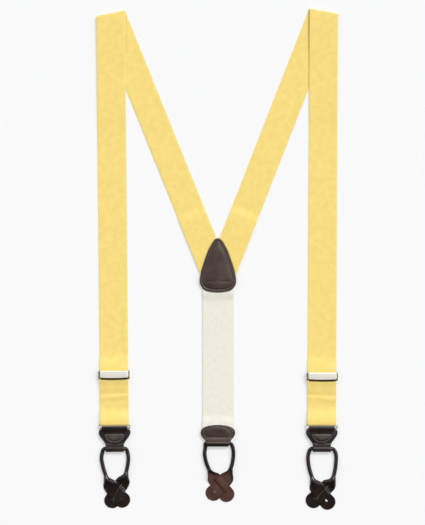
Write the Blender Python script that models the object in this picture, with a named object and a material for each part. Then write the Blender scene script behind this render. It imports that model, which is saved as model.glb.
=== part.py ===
"""Button-on suspenders with a Y back, lying flat: webbing, leather yoke, elastic, adjusters, wire rings and leather ends.

The back half lies with its inner side up, and the two front legs are folded over it at the shoulders, outer side up.
X points right, Y towards the shoulders, Z up from the table. The origin is under the middle of the whole object.
"""

import math
from collections import namedtuple

import bmesh
import bpy
from mathutils import Vector

for old in list(bpy.data.objects):
    bpy.data.objects.remove(old)

MM = 0.001

# --- driving dimensions ------------------------------------------------------------------------------------
WEB_WIDTH = 35.0 * MM
WEB = 1.2 * MM  # thickness of the webbing and of the elastic
ELASTIC_WIDTH = 38.4 * MM
LEATHER = 1.2 * MM
GAP = 0.3 * MM  # air between pieces that touch
FLOOR_MID = WEB / 2  # middle of a layer that lies on the table
SECOND_MID = FLOOR_MID + WEB + GAP  # middle of a layer that lies on another
FOLD_RADIUS = 1.5 * MM  # middle of the webbing where it turns at the shoulder
FOLD_HEIGHT = FLOOR_MID + FOLD_RADIUS
FOLD_PIECE = 9.0 * MM  # half length of the folded stretch, along the strap

# Each leg: the middle of its fold, how far its two halves lean, and how far down the hardware sits.
Leg = namedtuple("Leg", "side fold front_lean back_lean adjuster_drop ring_drop loop")
# A loop's arms: how far out each goes, how far from its tip it stops being rolled, and points on its middle line down to the
# crossing, all in mm. Then the middles of its two discs.
Loop = namedtuple("Loop", "left_arm right_arm left_disc right_disc")
Arm = namedtuple("Arm", "wide flat bend shoulder flare cross")
LEGS = {
    "left": Leg(
        -1, (-129.45 * MM, 297.54 * MM), 0.55, 21.9, 438.4 * MM, 498.4 * MM,
        Loop(
            Arm(16.2, 32, (-13.4, -26.0), (-8.8, -38.0), (-2.2, -50.0), (3.1, -56.7)),
            Arm(16.4, 35, (14.5, -25.2), (10.8, -36.1), (7.7, -44.3), (2.4, -52.4)),
            (-4.1, -63.5), (8.7, -62.9),
        ),
    ),
    "right": Leg(
        1, (129.45 * MM, 300.14 * MM), -0.28, -21.3, 443.0 * MM, 501.0 * MM,
        Loop(
            Arm(16.6, 32, (-14.3, -27.0), (-9.8, -38.5), (-4.5, -48.2), (0.2, -56.6)),
            Arm(17.7, 35, (16.1, -27.5), (12.7, -38.0), (8.9, -44.4), (2.1, -52.2)),
            (-9.9, -63.4), (7.8, -65.3),
        ),
    ),
}
BACK_LOOP = Loop(
    Arm(16.2, 33, (-14.0, -24.0), (-10.0, -32.8), (-4.2, -41.7), (2.5, -51.1)),
    Arm(18.9, 33, (17.6, -24.0), (15.0, -31.6), (9.9, -41.8), (3.1, -51.1)),
    (-5.7, -60.8), (10.6, -62.4),
)

YOKE_X = 0.85 * MM
YOKE_TOP = 25.3 * MM
YOKE_BOTTOM = -40.5 * MM
STRAP_END = -26.5 * MM  # where the straps stop and the elastic starts, inside the yoke
YOKE_RIM = 3.2 * MM
YOKE_PUFF = 1.2 * MM
BACK_TUNNEL_Y = -224.7 * MM
BACK_TAB_TOP = 22.5 * MM  # above the tunnel
BACK_NECK = 12.9 * MM  # half width of the back tab at its tunnel
FRONT_NECK = 11.0 * MM
TUNNEL_HEIGHT = 4.0 * MM
TUNNEL_RADIUS = 3.4 * MM  # middle of the leather round the loop's cord
CORD_RADIUS = 1.85 * MM  # middle of the leather rolled round the core
CORE_RADIUS = 0.85 * MM
ROLL_WIDTH = 11.2 * MM  # width of the leather that is rolled up
DISC_RADIUS = 9.3 * MM
TONGUE_WIDTH = 17.6 * MM
FLAT_BEND = 1e-6 / MM  # so small that the leather is flat

RING_HEIGHT = 3.8 * MM
RING_WIRE = 0.9 * MM
RING_HALF = 18.75 * MM
RING_BARS = 5.2 * MM  # between the middles of its two long bars
RING_CORNER = 1.6 * MM
TURN_RADIUS = RING_WIRE + GAP + WEB / 2
TAB_DROP = 25.0 * MM  # from the ring's lower bar to the tunnel
TAB_TOP = -1.4 * MM

FRAME_HALF = 18.95 * MM
FRAME_TALL = 11.0 * MM
FRAME_LOW, FRAME_HIGH = 1.5 * MM, 2.6 * MM
EAR_WALL = 1.1 * MM
PIN_UP = 3.4 * MM
PIN_HEIGHT = 6.2 * MM
PIN_RADIUS = 0.7 * MM
BARREL = 1.7 * MM
LEVER_HALF = 17.1 * MM
LEVER_TAIL = -8.2 * MM
LEVER_BOW = 1.1 * MM
BAR_WRAP = (-3.9 * MM, 2.05 * MM, 1.45 * MM)  # where the strap end turns round the frame's bar: up, height, radius


def smooth(low, high, x):
    t = min(1.0, max(0.0, (x - low) / (high - low)))
    return t * t * (3 - 2 * t)


def mix(a, b, t):
    return a + (b - a) * t


def arc(centre, radius, start, end, count):
    """Points on an arc in a plane, angles in degrees."""
    turns = [math.radians(mix(start, end, i / (count - 1))) for i in range(count)]
    return [(centre[0] + radius * math.cos(a), centre[1] + radius * math.sin(a)) for a in turns]


def curve_through(points, steps):
    """A smooth curve through 3D points, as a list of points."""
    points = [Vector(p) for p in points]
    ends = [2 * points[0] - points[1], *points, 2 * points[-1] - points[-2]]
    found = []
    for a, b, c, d in zip(ends, ends[1:], ends[2:], ends[3:]):
        for i in range(steps):
            t = i / steps
            found.append(
                0.5 * (2 * b + (c - a) * t + (2 * a - 5 * b + 4 * c - d) * t**2 + (3 * b - a - 3 * c + d) * t**3)
            )
    return [*found, points[-1]]


# --- materials ---------------------------------------------------------------------------------------------
def material(name, colour, roughness, metallic=0.0):
    made = bpy.data.materials.new(name)
    made.use_nodes = True
    shader = made.node_tree.nodes["Principled BSDF"]
    shader.inputs["Base Color"].default_value = (*colour, 1)
    shader.inputs["Roughness"].default_value = roughness
    shader.inputs["Metallic"].default_value = metallic
    return made


YELLOW = material("yellow_webbing", (0.91, 0.70, 0.20), 0.7)
IVORY = material("ivory_elastic", (0.83, 0.80, 0.70), 0.75)
DARK_LEATHER = material("dark_brown_leather", (0.035, 0.020, 0.015), 0.4)
FLESH_LEATHER = material("brown_leather_inside", (0.085, 0.035, 0.022), 0.6)
NICKEL = material("nickel_plate", (0.75, 0.73, 0.68), 0.2, 1.0)
THREAD = material("dark_thread", (0.03, 0.018, 0.014), 0.7)
FELT = material("felt_filler", (0.25, 0.22, 0.20), 0.9)
CORE = material("cotton_core", (0.45, 0.40, 0.33), 0.9)


# --- placing -----------------------------------------------------------------------------------------------
Anchor = namedtuple("Anchor", "empty place")


def anchor(name, parent, place, turn=0.0):
    """An empty on a joint's axis. Its place is given in the frame of the leg or back that it belongs to."""
    empty = bpy.data.objects.new(name, None)
    bpy.context.scene.collection.objects.link(empty)
    place = Vector(place)
    empty.rotation_euler.z = turn
    if parent:
        empty.parent = parent.empty
        empty.location = place - parent.place
        return Anchor(empty, place)
    empty.location = place
    return Anchor(empty, Vector())


def piece(name, bm, finish, held_by):
    """The mesh becomes an object whose origin is its body's joint."""
    bmesh.ops.translate(bm, verts=bm.verts, vec=-held_by.place)
    bmesh.ops.recalc_face_normals(bm, faces=bm.faces)
    mesh = bpy.data.meshes.new(name)
    bm.to_mesh(mesh)
    bm.free()
    mesh.shade_smooth()
    mesh.set_sharp_from_angle(angle=math.radians(40))
    made = bpy.data.objects.new(name, mesh)
    bpy.context.scene.collection.objects.link(made)
    made.parent = held_by.empty
    mesh.materials.append(finish)
    return made


# --- shapes ------------------------------------------------------------------------------------------------
def loft(sections, closed=False):
    """A solid through sections of equally many points."""
    bm = bmesh.new()
    rings = [[bm.verts.new(p) for p in section] for section in sections]
    pairs = list(zip(rings, rings[1:]))
    if closed:
        pairs.append((rings[-1], rings[0]))
    else:
        bm.faces.new(rings[0])
        bm.faces.new(list(reversed(rings[-1])))
    for one, two in pairs:
        for i, start in enumerate(one):
            j = (i + 1) % len(one)
            bm.faces.new((start, two[i], two[j], one[j]))
    return bm


def ribbon(path, half_width, thickness, middle=0.0):
    """A strip that follows a path of (up, height) points. half_width is a number or a function of up."""
    sections = []
    for i, (up, height) in enumerate(path):
        before, after = path[max(0, i - 1)], path[min(len(path) - 1, i + 1)]
        along = Vector((0, after[0] - before[0], after[1] - before[1])).normalized()
        out = Vector((0, -along.z, along.y)) * thickness / 2
        half = half_width(up) if callable(half_width) else half_width
        here = Vector((middle, up, height))
        side = Vector((half, 0, 0))
        sections.append([here - side + out, here + side + out, here + side - out, here - side - out])
    return loft(sections)


def plate(outline, low, high):
    """A flat piece of an outline, from one height to another."""
    bm = bmesh.new()
    face = bm.faces.new([bm.verts.new((x, y, low)) for x, y in outline])
    raised = bmesh.ops.extrude_face_region(bm, geom=[face])
    tops = [v for v in raised["geom"] if isinstance(v, bmesh.types.BMVert)]
    bmesh.ops.translate(bm, verts=tops, vec=(0, 0, high - low))
    return bm


def inset(outline, distance):
    """The outline moved inwards. It runs anticlockwise."""
    moved = []
    for i, (x, y) in enumerate(outline):
        before, after = outline[i - 1], outline[(i + 1) % len(outline)]
        along = Vector((after[0] - before[0], after[1] - before[1])).normalized()
        moved.append((x - along.y * distance, y + along.x * distance))
    return moved


def kept_inside(outline, distance):
    """The outline moved inwards, without the points that would cross over at a tight corner."""
    return [
        (x, y) for x, y in inset(outline, distance) if min(math.hypot(x - a, y - b) for a, b in outline) > 0.96 * distance
    ]


def cut_flat(bm, point, normal):
    """Cuts off what lies beyond a plane and closes the cut."""
    geometry = [*bm.verts, *bm.edges, *bm.faces]
    made = bmesh.ops.bisect_plane(bm, geom=geometry, plane_co=point, plane_no=normal, clear_outer=True)
    edges = [e for e in made["geom_cut"] if isinstance(e, bmesh.types.BMEdge)]
    bmesh.ops.holes_fill(bm, edges=edges)


def tube(name, points, radius, finish, held_by, closed=False, resolution=2):
    """A round wire, thread or cord through the points."""
    curve = bpy.data.curves.new(name, "CURVE")
    curve.dimensions = "3D"
    curve.bevel_depth = radius
    curve.bevel_resolution = resolution
    curve.use_fill_caps = True
    spline = curve.splines.new("POLY")
    spline.points.add(len(points) - 1)
    for point, place in zip(spline.points, points):
        point.co = (*(Vector(place) - held_by.place), 1)
    spline.use_cyclic_u = closed
    made = bpy.data.objects.new(name, curve)
    bpy.context.scene.collection.objects.link(made)
    made.parent = held_by.empty
    curve.materials.append(finish)
    return made


def boolean(target, bm, operation, held_by, name):
    """Joins a hidden shape to the target, or cuts it out."""
    tool = piece(name, bm, target.data.materials[0], held_by)
    tool.hide_render = True
    tool.display_type = "WIRE"
    change = target.modifiers.new(name, "BOOLEAN")
    change.object = tool
    change.operation = operation


def box(low, high):
    return plate([(low[0], low[1]), (high[0], low[1]), (high[0], high[1]), (low[0], high[1])], low[2], high[2])


def bar_across(profile, start, end):
    """A profile of (up, height) points, drawn out across the strap."""
    return loft([[(x, up, height) for up, height in profile] for x in (start, end)])


# --- webbing -----------------------------------------------------------------------------------------------
def fold_frame(leg):
    """The fold line's direction, the direction halfway between the two halves, and half the angle between them."""
    half = math.radians(leg.back_lean - leg.front_lean) / 2
    halfway = math.radians(leg.back_lean + leg.front_lean) / 2
    down = Vector((math.sin(halfway), -math.cos(halfway), 0))
    across = Vector((-math.cos(halfway), -math.sin(halfway), 0))
    return across, down, half


def fold_offset(leg):
    """How far along the fold line the middle of each half starts from the fold's middle."""
    return FOLD_RADIUS * math.pi / 2 * math.tan(fold_frame(leg)[2])


def fold_start():
    """Strap length from the middle of the fold to where it lies flat, near enough."""
    return FOLD_RADIUS * math.pi / 2


def strap_fold(leg):
    """The webbing rolled about the fold line. It is flat beyond a quarter turn each way."""
    across, down, half = fold_frame(leg)
    centre = Vector((*leg.fold, FOLD_HEIGHT))
    quarter = FOLD_RADIUS * math.pi / 2
    sections = []
    rows = 26
    for i in range(rows + 1):
        s = mix(-FOLD_PIECE - fold_start(), FOLD_PIECE + fold_start(), i / rows)
        outer, inner = [], []
        for u in [mix(-WEB_WIDTH / 2, WEB_WIDTH / 2, k / 4) for k in range(5)]:
            u_turned = u * (1 if half > 0 else -1)
            along = u_turned * math.cos(half) + s * math.sin(half)
            beyond = s * math.cos(half) - u_turned * math.sin(half)
            bend = max(-quarter, min(quarter, beyond)) / FOLD_RADIUS
            reach = abs(beyond) - quarter if abs(beyond) > quarter else -FOLD_RADIUS * math.cos(bend)
            place = centre + along * across + reach * down + Vector((0, 0, FOLD_RADIUS * math.sin(bend)))
            out = (Vector((0, 0, math.sin(bend))) - down * math.cos(bend)) * WEB / 2
            outer.append(place + out)
            inner.append(place - out)
        sections.append([*outer, *reversed(inner)])
    return loft(sections)


def front_height(distance):
    """Middle of the front webbing, from the fold down: over the back strap, then on the table."""
    top = FOLD_HEIGHT + FOLD_RADIUS
    height = mix(top, SECOND_MID, smooth(12 * MM, 70 * MM, distance))
    return mix(height, FLOOR_MID, smooth(105 * MM, 150 * MM, distance))


def front_path(leg):
    """The front webbing from the fold to the adjuster's lever."""
    end = leg.adjuster_drop - 3.85 * MM - GAP
    stops = [FOLD_PIECE, *[d * MM for d in (14, 20, 26, 34, 42, 50, 60, 72, 105, 112, 120, 128, 136, 145, 152)]]
    path = [(-d, front_height(d)) for d in stops]
    climb = 22 * MM
    for k in range(9):
        distance = end - climb * (1 - k / 8)
        path.append((-distance, mix(FLOOR_MID, 3.5 * MM, smooth(end - climb, end - 3 * MM, distance))))
    return path


def lower_path(adjuster, ring):
    """The webbing's front layer, through the adjuster and down to the ring."""
    near = [
        (3.85, 3.5), (2.0, 3.5), (0.3, 3.7), (-1.0, 4.15), (-2.3, 4.65), (-3.6, 5.0), (-5.6, 5.0), (-8.0, 4.7),
        (-11.0, 4.0), (-14.0, 3.65), (-17.0, 3.6), (-20.0, 3.0), (-23.0, 2.35), (-27.0, 2.1), (-31.0, 2.1),
    ]
    top = RING_HEIGHT + TURN_RADIUS
    path = [(adjuster + up * MM, height * MM) for up, height in near]
    for k in range(7):
        up = mix(20 * MM, 2.3 * MM, k / 6)
        path.append((ring + up, mix(SECOND_MID, top, smooth(-20 * MM, -3 * MM, -up))))
    return path


def turn_path(ring):
    """Round the ring's upper bar."""
    bend = arc((ring, RING_HEIGHT), TURN_RADIUS, 90, 270, 11)
    return [(ring + 2.0 * MM, bend[0][1]), *bend, (ring + 2.0 * MM, bend[-1][1])]


def return_path(adjuster, ring):
    """The webbing's rear layer, from the ring up to the adjuster's bar, round it, and a short tail."""
    low = RING_HEIGHT - TURN_RADIUS
    path = [(ring + 2.3 * MM + 11 * MM * k / 5, mix(low, FLOOR_MID, smooth(0, 1, k / 5))) for k in range(6)]
    up, height, radius = BAR_WRAP
    path += [(adjuster + up, FLOOR_MID)]
    path += arc((adjuster + up, height), radius, -70, 90, 9)
    tail = [(-5.6, 3.4), (-7.4, 2.9), (-9.2, 2.4), (-11.0, 2.15), (-16.0, 2.1)]
    return [*path, *[(adjuster + a * MM, b * MM) for a, b in tail]]


def back_strap(leg):
    """The webbing from the fold to the yoke, cut to meet its fellow at the middle line."""
    across, down, half = fold_frame(leg)
    heading = (down * math.cos(half) - across * math.sin(half)).normalized()
    start = Vector((*leg.fold, 0)) - across * fold_offset(leg)
    side = Vector((-heading.y, heading.x, 0)) * WEB_WIDTH / 2
    rise = ((YOKE_TOP - start.y) / heading.y) - 26 * MM
    length = (YOKE_BOTTOM - start.y) / heading.y + 10 * MM
    stops = [FOLD_PIECE + GAP, rise - 12 * MM, *[rise - 12 * MM + 12 * MM * k / 5 for k in range(1, 6)], length]
    sections = []
    for distance in stops:
        here = start + heading * distance
        height = mix(FLOOR_MID, SECOND_MID, smooth(rise - 12 * MM, rise, distance))
        top, low = Vector((0, 0, height + WEB / 2)), Vector((0, 0, height - WEB / 2))
        sections.append([here - side + top, here + side + top, here + side + low, here - side + low])
    bm = loft(sections)
    middle = Vector((YOKE_X + leg.side * GAP, 0, 0))
    cut_flat(bm, middle, Vector((-leg.side, 0, 0)))
    cut_flat(bm, Vector((0, STRAP_END, 0)), Vector((0, -1, 0)))
    return bm


def elastic_path():
    """The elastic from inside the yoke to inside the back tab."""
    end = BACK_TUNNEL_Y + 9.5 * MM
    tab_top = BACK_TUNNEL_Y + BACK_TAB_TOP
    path = [(STRAP_END - GAP, SECOND_MID)]
    path += [(YOKE_BOTTOM - 12 * MM * k / 5, mix(SECOND_MID, FLOOR_MID, smooth(0, 5, k))) for k in range(6)]
    path += [(tab_top + 13 * MM - 12 * MM * k / 5, mix(FLOOR_MID, SECOND_MID, smooth(0, 5, k))) for k in range(6)]
    return [*path, (end, SECOND_MID)]


# --- leather -----------------------------------------------------------------------------------------------
def yoke_outline(count=48):
    """Rounded triangle: a narrow round top, slightly full sides, and broad round corners at the bottom."""
    half = [
        (0, 65.8), (3.9, 64.2), (6.5, 60.8), (9.5, 55.7), (12.0, 50.8), (15.7, 40.6), (19.1, 30.5), (21.5, 20.5),
        (22.3, 14.5), (21.9, 10.5), (20.2, 6.6), (16.2, 3.0), (10.4, 0.9), (0, 0.0),
    ]
    points = [(x * MM, y * MM, 0) for x, y in half]
    mirrored = [(-x, y, 0) for x, y, _ in reversed(points[1:-1])]
    ring = [*points, *mirrored]
    wrapped = [ring[-1], *ring, ring[0], ring[1]]
    smoothed = curve_through(wrapped, 4)[4:-8]
    step = len(smoothed) / count
    spread = [smoothed[int(i * step)] for i in range(count)]
    return [(YOKE_X + p.x, YOKE_BOTTOM + p.y) for p in reversed(spread)]


def domed_yoke(outline, rim_low, puff_low):
    """The inner leather: a flat rim, a step, and a panel raised over the filler."""
    levels = [(0, rim_low), (YOKE_RIM, rim_low), (YOKE_RIM + 1.2 * MM, puff_low)]
    bm = bmesh.new()
    rings = []
    for distance, low in levels:
        rings.append([[bm.verts.new((x, y, low + up)) for x, y in inset(outline, distance)] for up in (0, LEATHER)])
    count = len(outline)
    for k in (0, 1):
        for one, two in zip(rings, rings[1:]):
            for i in range(count):
                j = (i + 1) % count
                bm.faces.new((one[k][i], one[k][j], two[k][j], two[k][i]))
        bm.faces.new(rings[-1][k])
    for i in range(count):
        j = (i + 1) % count
        bm.faces.new((rings[0][0][i], rings[0][0][j], rings[0][1][j], rings[0][1][i]))
    return bm


def tab_path(top, tunnel, rear_mid, front_mid):
    """A leather tab folded in half round the loop's cord: rear leaf, tunnel, front leaf."""
    rear = [(mix(top, tunnel, k / 9), rear_mid) for k in range(9)]
    turn = arc((tunnel, TUNNEL_HEIGHT), TUNNEL_RADIUS, -90, -312, 16)
    crown = turn[-1]
    leave = (tunnel + 6.9 * MM, front_mid)
    fall = [(mix(crown[0], leave[0], k / 5), mix(crown[1], leave[1], 1 - (1 - k / 5) ** 1.8)) for k in range(1, 6)]
    front = [(mix(leave[0], top, k / 9), front_mid) for k in range(1, 10)]
    return [*rear, *turn, *fall, *front]


def front_tab_half(up):
    """Half width of a front tab, measured down from the ring's lower bar: ears, then a neck."""
    half = mix(FRONT_NECK, 19.2 * MM, smooth(-21.5 * MM, -5.5 * MM, up))
    corner = 2.5 * MM
    over = min(up - (TAB_TOP - corner), 0.9 * corner)
    return half - (corner - math.sqrt(corner**2 - over**2)) if over > 0 else half


def back_tab_half(up):
    """Half width of the back tab, measured up from its tunnel: a neck, then a broad round head."""
    half = mix(BACK_NECK, 21.0 * MM, smooth(-2.0 * MM, 12.2 * MM, up))
    reach = min(0.99, (up - 13.2 * MM) / (BACK_TAB_TOP + 0.1 * MM - 13.2 * MM))
    return half * (1 - reach**2.3) ** (1 / 2.3) if reach > 0 else half


def half_moon_half(up):
    """Half width of the leather strap round the ring's lower bar: straight, then a half moon."""
    if up > -6.5 * MM:
        return mix(13.3 * MM, 15.6 * MM, smooth(-6.5 * MM, 0, up))
    return 13.3 * MM * math.sqrt(max(0.02, 1 - ((up + 6.5 * MM) / (12.1 * MM)) ** 2))


def half_moon_path():
    """Rear leaf between the tab's leaves, round the bar, and down over the tab's front."""
    radius = RING_WIRE + GAP + LEATHER / 2
    rear_mid = RING_HEIGHT - radius
    front_mid = 5.0 * MM
    ends = [-18.5, -18.2, -17.4, -16.2, -14.4, -12.0, -9.0, -6.5, -3.5]
    rear = [(up * MM, rear_mid) for up in ends]
    turn = arc((0, RING_HEIGHT), radius, -90, 100, 13)
    front = [(-1.6 * MM, 5.45 * MM), (-3.0 * MM, 5.1 * MM), *[(up * MM, front_mid) for up in reversed(ends[:-1])]]
    return [*rear, *turn, *front]


def moved(path, up):
    return [(a + up, height) for a, height in path]


def arm_and_disc(loop, hand):
    """The arm on one side, and the disc on the other side that it ends in."""
    arm, disc = (loop.left_arm, loop.right_disc) if hand < 0 else (loop.right_arm, loop.left_disc)
    return arm, Vector(disc) * MM


def loop_route(loop, hand, neck):
    """Half of a loop, from the tunnel down to one disc. hand is the side that the arm is on."""
    arm, disc = arm_and_disc(loop, hand)
    wide = arm.wide * MM
    down = [(x * MM, y * MM) for x, y in arm[2:]]
    end = disc + (disc - Vector(down[-1])).normalized() * DISC_RADIUS * 0.995
    return [
        (0, 0), (hand * (neck - 2.4 * MM), 0), (hand * (neck + 2.3 * MM), -0.3 * MM),
        (hand * (wide - 0.9 * MM), -4.9 * MM), (hand * wide, -13.0 * MM), *down, tuple(disc), tuple(end),
    ]


def rolled(left, flat):
    """How far the leather has closed into its roll: 0 while flat, 1 round the cord."""
    return min(1.0, max(0.0, (left - flat + 2 * MM) / (16 * MM))) ** 1.7


def loop_sections(loop, curl, neck):
    """The rolled leather from one disc over the tunnel to the other. curl is -1 where its edges curl down."""
    sections, core = [], []
    for hand, level in ((-1, FLOOR_MID), (1, SECOND_MID)):
        line = curve_through([(x, y, 0) for x, y in loop_route(loop, hand, neck)], 3)
        run = [0.0]
        for a, b in zip(line, line[1:]):
            run.append(run[-1] + (b - a).length)
        tip = run[-1]
        flat = arm_and_disc(loop, hand)[0].flat * MM
        half = []
        for i, place in enumerate(line):
            left = tip - run[i]
            along = (line[min(i + 1, len(line) - 1)] - line[max(i - 1, 0)]).normalized()
            side = Vector((-along.y, along.x, 0)) * hand
            roll = rolled(left, flat)
            width = mix(TONGUE_WIDTH, ROLL_WIDTH, roll)
            spread = smooth(flat + 17 * MM, flat + 9 * MM, left) * smooth(18 * MM, 26 * MM, left)
            place = place + side * 0.9 * MM * spread
            if left < DISC_RADIUS:
                width = 2 * math.sqrt(max(0.01, 1 - (1 - left / DISC_RADIUS) ** 2)) * TONGUE_WIDTH / 2
            bend = max(roll / CORD_RADIUS, FLAT_BEND)
            lift = TUNNEL_HEIGHT - CORD_RADIUS - LEATHER / 2
            lift = mix(0, lift, smooth(17 * MM, 12 * MM, run[i]) if run[i] < 17 * MM else 0)
            over = 1 - smooth(31 * MM, 43 * MM, left)
            middle = mix(FLOOR_MID, level, over) + lift + 0.02 * MM
            drop = (1 - math.cos(bend * width / 2)) / bend
            middle += drop if curl < 0 else 0
            if left > flat + 13 * MM:
                centre = middle + curl * CORD_RADIUS
                core.append((hand, i, Vector((place.x, place.y, centre))))
            outer, inner = [], []
            for k in range(9):
                reach = mix(-width / 2, width / 2, k / 8)
                turn = bend * reach
                base = place + side * math.sin(turn) / bend
                base += Vector((0, 0, middle + curl * (1 - math.cos(turn)) / bend))
                out = (side * math.sin(turn) - Vector((0, 0, curl)) * math.cos(turn)) * LEATHER / 2
                outer.append(base + out)
                inner.append(base - out)
            half.append([*outer, *reversed(inner)])
        sections = [*reversed(half), *sections] if hand < 0 else [*sections, *half[1:]]
    left_core = [p for hand, _, p in core if hand < 0]
    right_core = [p for hand, _, p in core if hand > 0]
    return sections, [*reversed(left_core), *right_core[1:]]


def placed(sections, origin):
    return [[p + origin for p in section] for section in sections]


def buttonhole(loop, hand, low, high, origin):
    """An oval hole between a disc's middle and the crossing."""
    arm, disc = arm_and_disc(loop, hand)
    heading = (Vector(arm.cross) * MM - disc).normalized()
    centre = disc + heading * 2.5 * MM
    outline = []
    for k in range(12):
        a = k * math.tau / 12
        along, side = 3.4 * MM * math.cos(a), 1.3 * MM * math.sin(a)
        outline.append((
            origin.x + centre.x + heading.x * along - heading.y * side,
            origin.y + centre.y + heading.y * along + heading.x * side,
        ))
    return plate(outline, low, high)


def make_loop(name, loop, origin, curl, neck, finish, held_by):
    sections, core = loop_sections(loop, curl, neck)
    made = piece(name, loft(placed(sections, origin)), finish, held_by)
    step = WEB + GAP
    boolean(made, buttonhole(loop, -1, -1 * MM, step - 0.1 * MM, origin), "DIFFERENCE", held_by, name + "_right_hole")
    boolean(made, buttonhole(loop, 1, step - 0.1 * MM, 4 * MM, origin), "DIFFERENCE", held_by, name + "_left_hole")
    tube(name + "_core", [p + origin for p in core], CORE_RADIUS, CORE, held_by)


# --- metal -------------------------------------------------------------------------------------------------
def ring_route(top):
    """A rounded rectangle of wire, from its upper bar down."""
    x, low = RING_HALF - RING_CORNER, RING_BARS - RING_CORNER
    corners = [(x, -RING_CORNER, 90, 0), (x, -low, 0, -90), (-x, -low, -90, -180), (-x, -RING_CORNER, 180, 90)]
    route = []
    for a, b, start, end in corners:
        route += [(p, top + q, RING_HEIGHT) for p, q in arc((a, b), RING_CORNER, start, end, 5)]
    return route


def lever_profile(bow):
    """The lever's section at its pin: a round barrel and a crowned plate down to the free edge."""
    tail = LEVER_TAIL - bow
    top = [(mix(0, tail, k / 6), BARREL - 0.75 * MM * (k / 6) ** 2) for k in range(1, 7)]
    under = [(tail + 0.1 * MM, 0.05 * MM), (tail + 1.0 * MM, -0.1 * MM), (mix(tail, 0, 0.5), 0.55 * MM)]
    barrel = arc((0, 0), BARREL, -140, 90, 12)
    return [*barrel, *top, *under]


def make_adjuster(tag, centre, adjuster, lever):
    """Frame with two ears and a bar, the pin through its ears, and the lever that clamps the webbing."""
    half = FRAME_TALL / 2
    frame = piece("adjuster_frame_" + tag, box((-FRAME_HALF, centre - half, FRAME_LOW),
                  (FRAME_HALF, centre + half, FRAME_HIGH)), NICKEL, adjuster)
    window = box((-17.75 * MM, centre - 3.7 * MM, 0), (17.75 * MM, centre + 0.3 * MM, 4 * MM))
    boolean(frame, window, "DIFFERENCE", adjuster, "frame_window_" + tag)
    for hand in (-1, 1):
        pin = (centre + PIN_UP, PIN_HEIGHT)
        ear = [(centre - half, FRAME_LOW + 0.2 * MM), (centre + half, FRAME_LOW + 0.2 * MM),
               *arc(pin, BARREL, -20, 150, 9), (centre - half, 5.4 * MM)]
        inner = hand * (FRAME_HALF - EAR_WALL)
        boolean(frame, bar_across(ear, *sorted((inner, hand * FRAME_HALF))), "UNION", adjuster,
                f"frame_ear_{tag}_{hand}")
    hole = arc((centre + PIN_UP, PIN_HEIGHT), PIN_RADIUS + GAP, 0, 330, 12)
    boolean(frame, bar_across(hole, -25 * MM, 25 * MM), "DIFFERENCE", adjuster, "frame_pin_hole_" + tag)
    tube("adjuster_pin_" + tag, [(-FRAME_HALF, centre + PIN_UP, PIN_HEIGHT), (FRAME_HALF, centre + PIN_UP, PIN_HEIGHT)],
         PIN_RADIUS, NICKEL, adjuster)
    sections = []
    for k in range(11):
        x = mix(-LEVER_HALF, LEVER_HALF, k / 10)
        bow = LEVER_BOW * (1 - (x / LEVER_HALF) ** 2)
        sections.append([(x + 0.4 * MM, centre + PIN_UP + a, PIN_HEIGHT + b) for a, b in lever_profile(bow)])
    clamp = piece("adjuster_lever_" + tag, loft(sections), NICKEL, lever)
    boolean(clamp, bar_across(hole, -25 * MM, 25 * MM), "DIFFERENCE", adjuster, "lever_pin_hole_" + tag)


# --- assemblies --------------------------------------------------------------------------------------------
def make_front_tab(tag, bar, held_by):
    """The leather end below a ring: tab, half moon and their seam."""
    tunnel = bar - TAB_DROP
    body = tab_path(bar + TAB_TOP, tunnel, FLOOR_MID, 3.5 * MM)
    piece("tab_" + tag, ribbon(body, lambda up: front_tab_half(up - bar), LEATHER), DARK_LEATHER, held_by)
    strap = moved(half_moon_path(), bar)
    piece("ring_strap_" + tag, ribbon(strap, lambda up: half_moon_half(up - bar), LEATHER), DARK_LEATHER, held_by)
    seam = [(11.2 * MM * math.cos(a), bar - 6.9 * MM - 9.6 * MM * math.sin(a), 6.15 * MM)
            for a in [math.pi * k / 24 for k in range(25)]]
    tube("tab_seam_" + tag, seam, 0.25 * MM, THREAD, held_by)


def make_leg(tag, leg):
    across, _, half = fold_frame(leg)
    origin = Vector((*leg.fold, 0)) + across * fold_offset(leg)
    base = anchor("leg_" + tag, None, origin, math.radians(leg.front_lean))
    shoulder = anchor("shoulder_fold_" + tag, base, (0, 0, FOLD_HEIGHT))
    centre, ring = -leg.adjuster_drop, -leg.ring_drop
    bar = ring - RING_BARS
    adjuster = anchor("strap_adjust_" + tag, shoulder, (0, centre, FOLD_HEIGHT))
    lever = anchor("lever_pivot_" + tag, adjuster, (0, centre + PIN_UP, PIN_HEIGHT))
    turn = anchor("strap_shorten_" + tag, adjuster, (0, ring, RING_HEIGHT))
    ring_at = anchor("ring_swing_" + tag, turn, (0, ring, RING_HEIGHT))
    tab_at = anchor("tab_swing_" + tag, ring_at, (0, bar, RING_HEIGHT))
    loop_at = anchor("loop_swing_" + tag, tab_at, (0, bar - TAB_DROP, TUNNEL_HEIGHT))
    half_web = WEB_WIDTH / 2
    piece("strap_front_" + tag, ribbon(front_path(leg), half_web, WEB), YELLOW, shoulder)
    piece("strap_lower_" + tag, ribbon(lower_path(centre, ring), half_web, WEB), YELLOW, adjuster)
    piece("strap_return_" + tag, ribbon(return_path(centre, ring), half_web, WEB), YELLOW, adjuster)
    piece("strap_turn_" + tag, ribbon(turn_path(ring), half_web, WEB), YELLOW, turn)
    make_adjuster(tag, centre, adjuster, lever)
    tube("ring_" + tag, ring_route(ring), RING_WIRE, NICKEL, ring_at, closed=True, resolution=3)
    make_front_tab(tag, bar, tab_at)
    make_loop("loop_" + tag, leg.loop, Vector((0, bar - TAB_DROP, 0)), -1, FRONT_NECK, DARK_LEATHER, loop_at)


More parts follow.
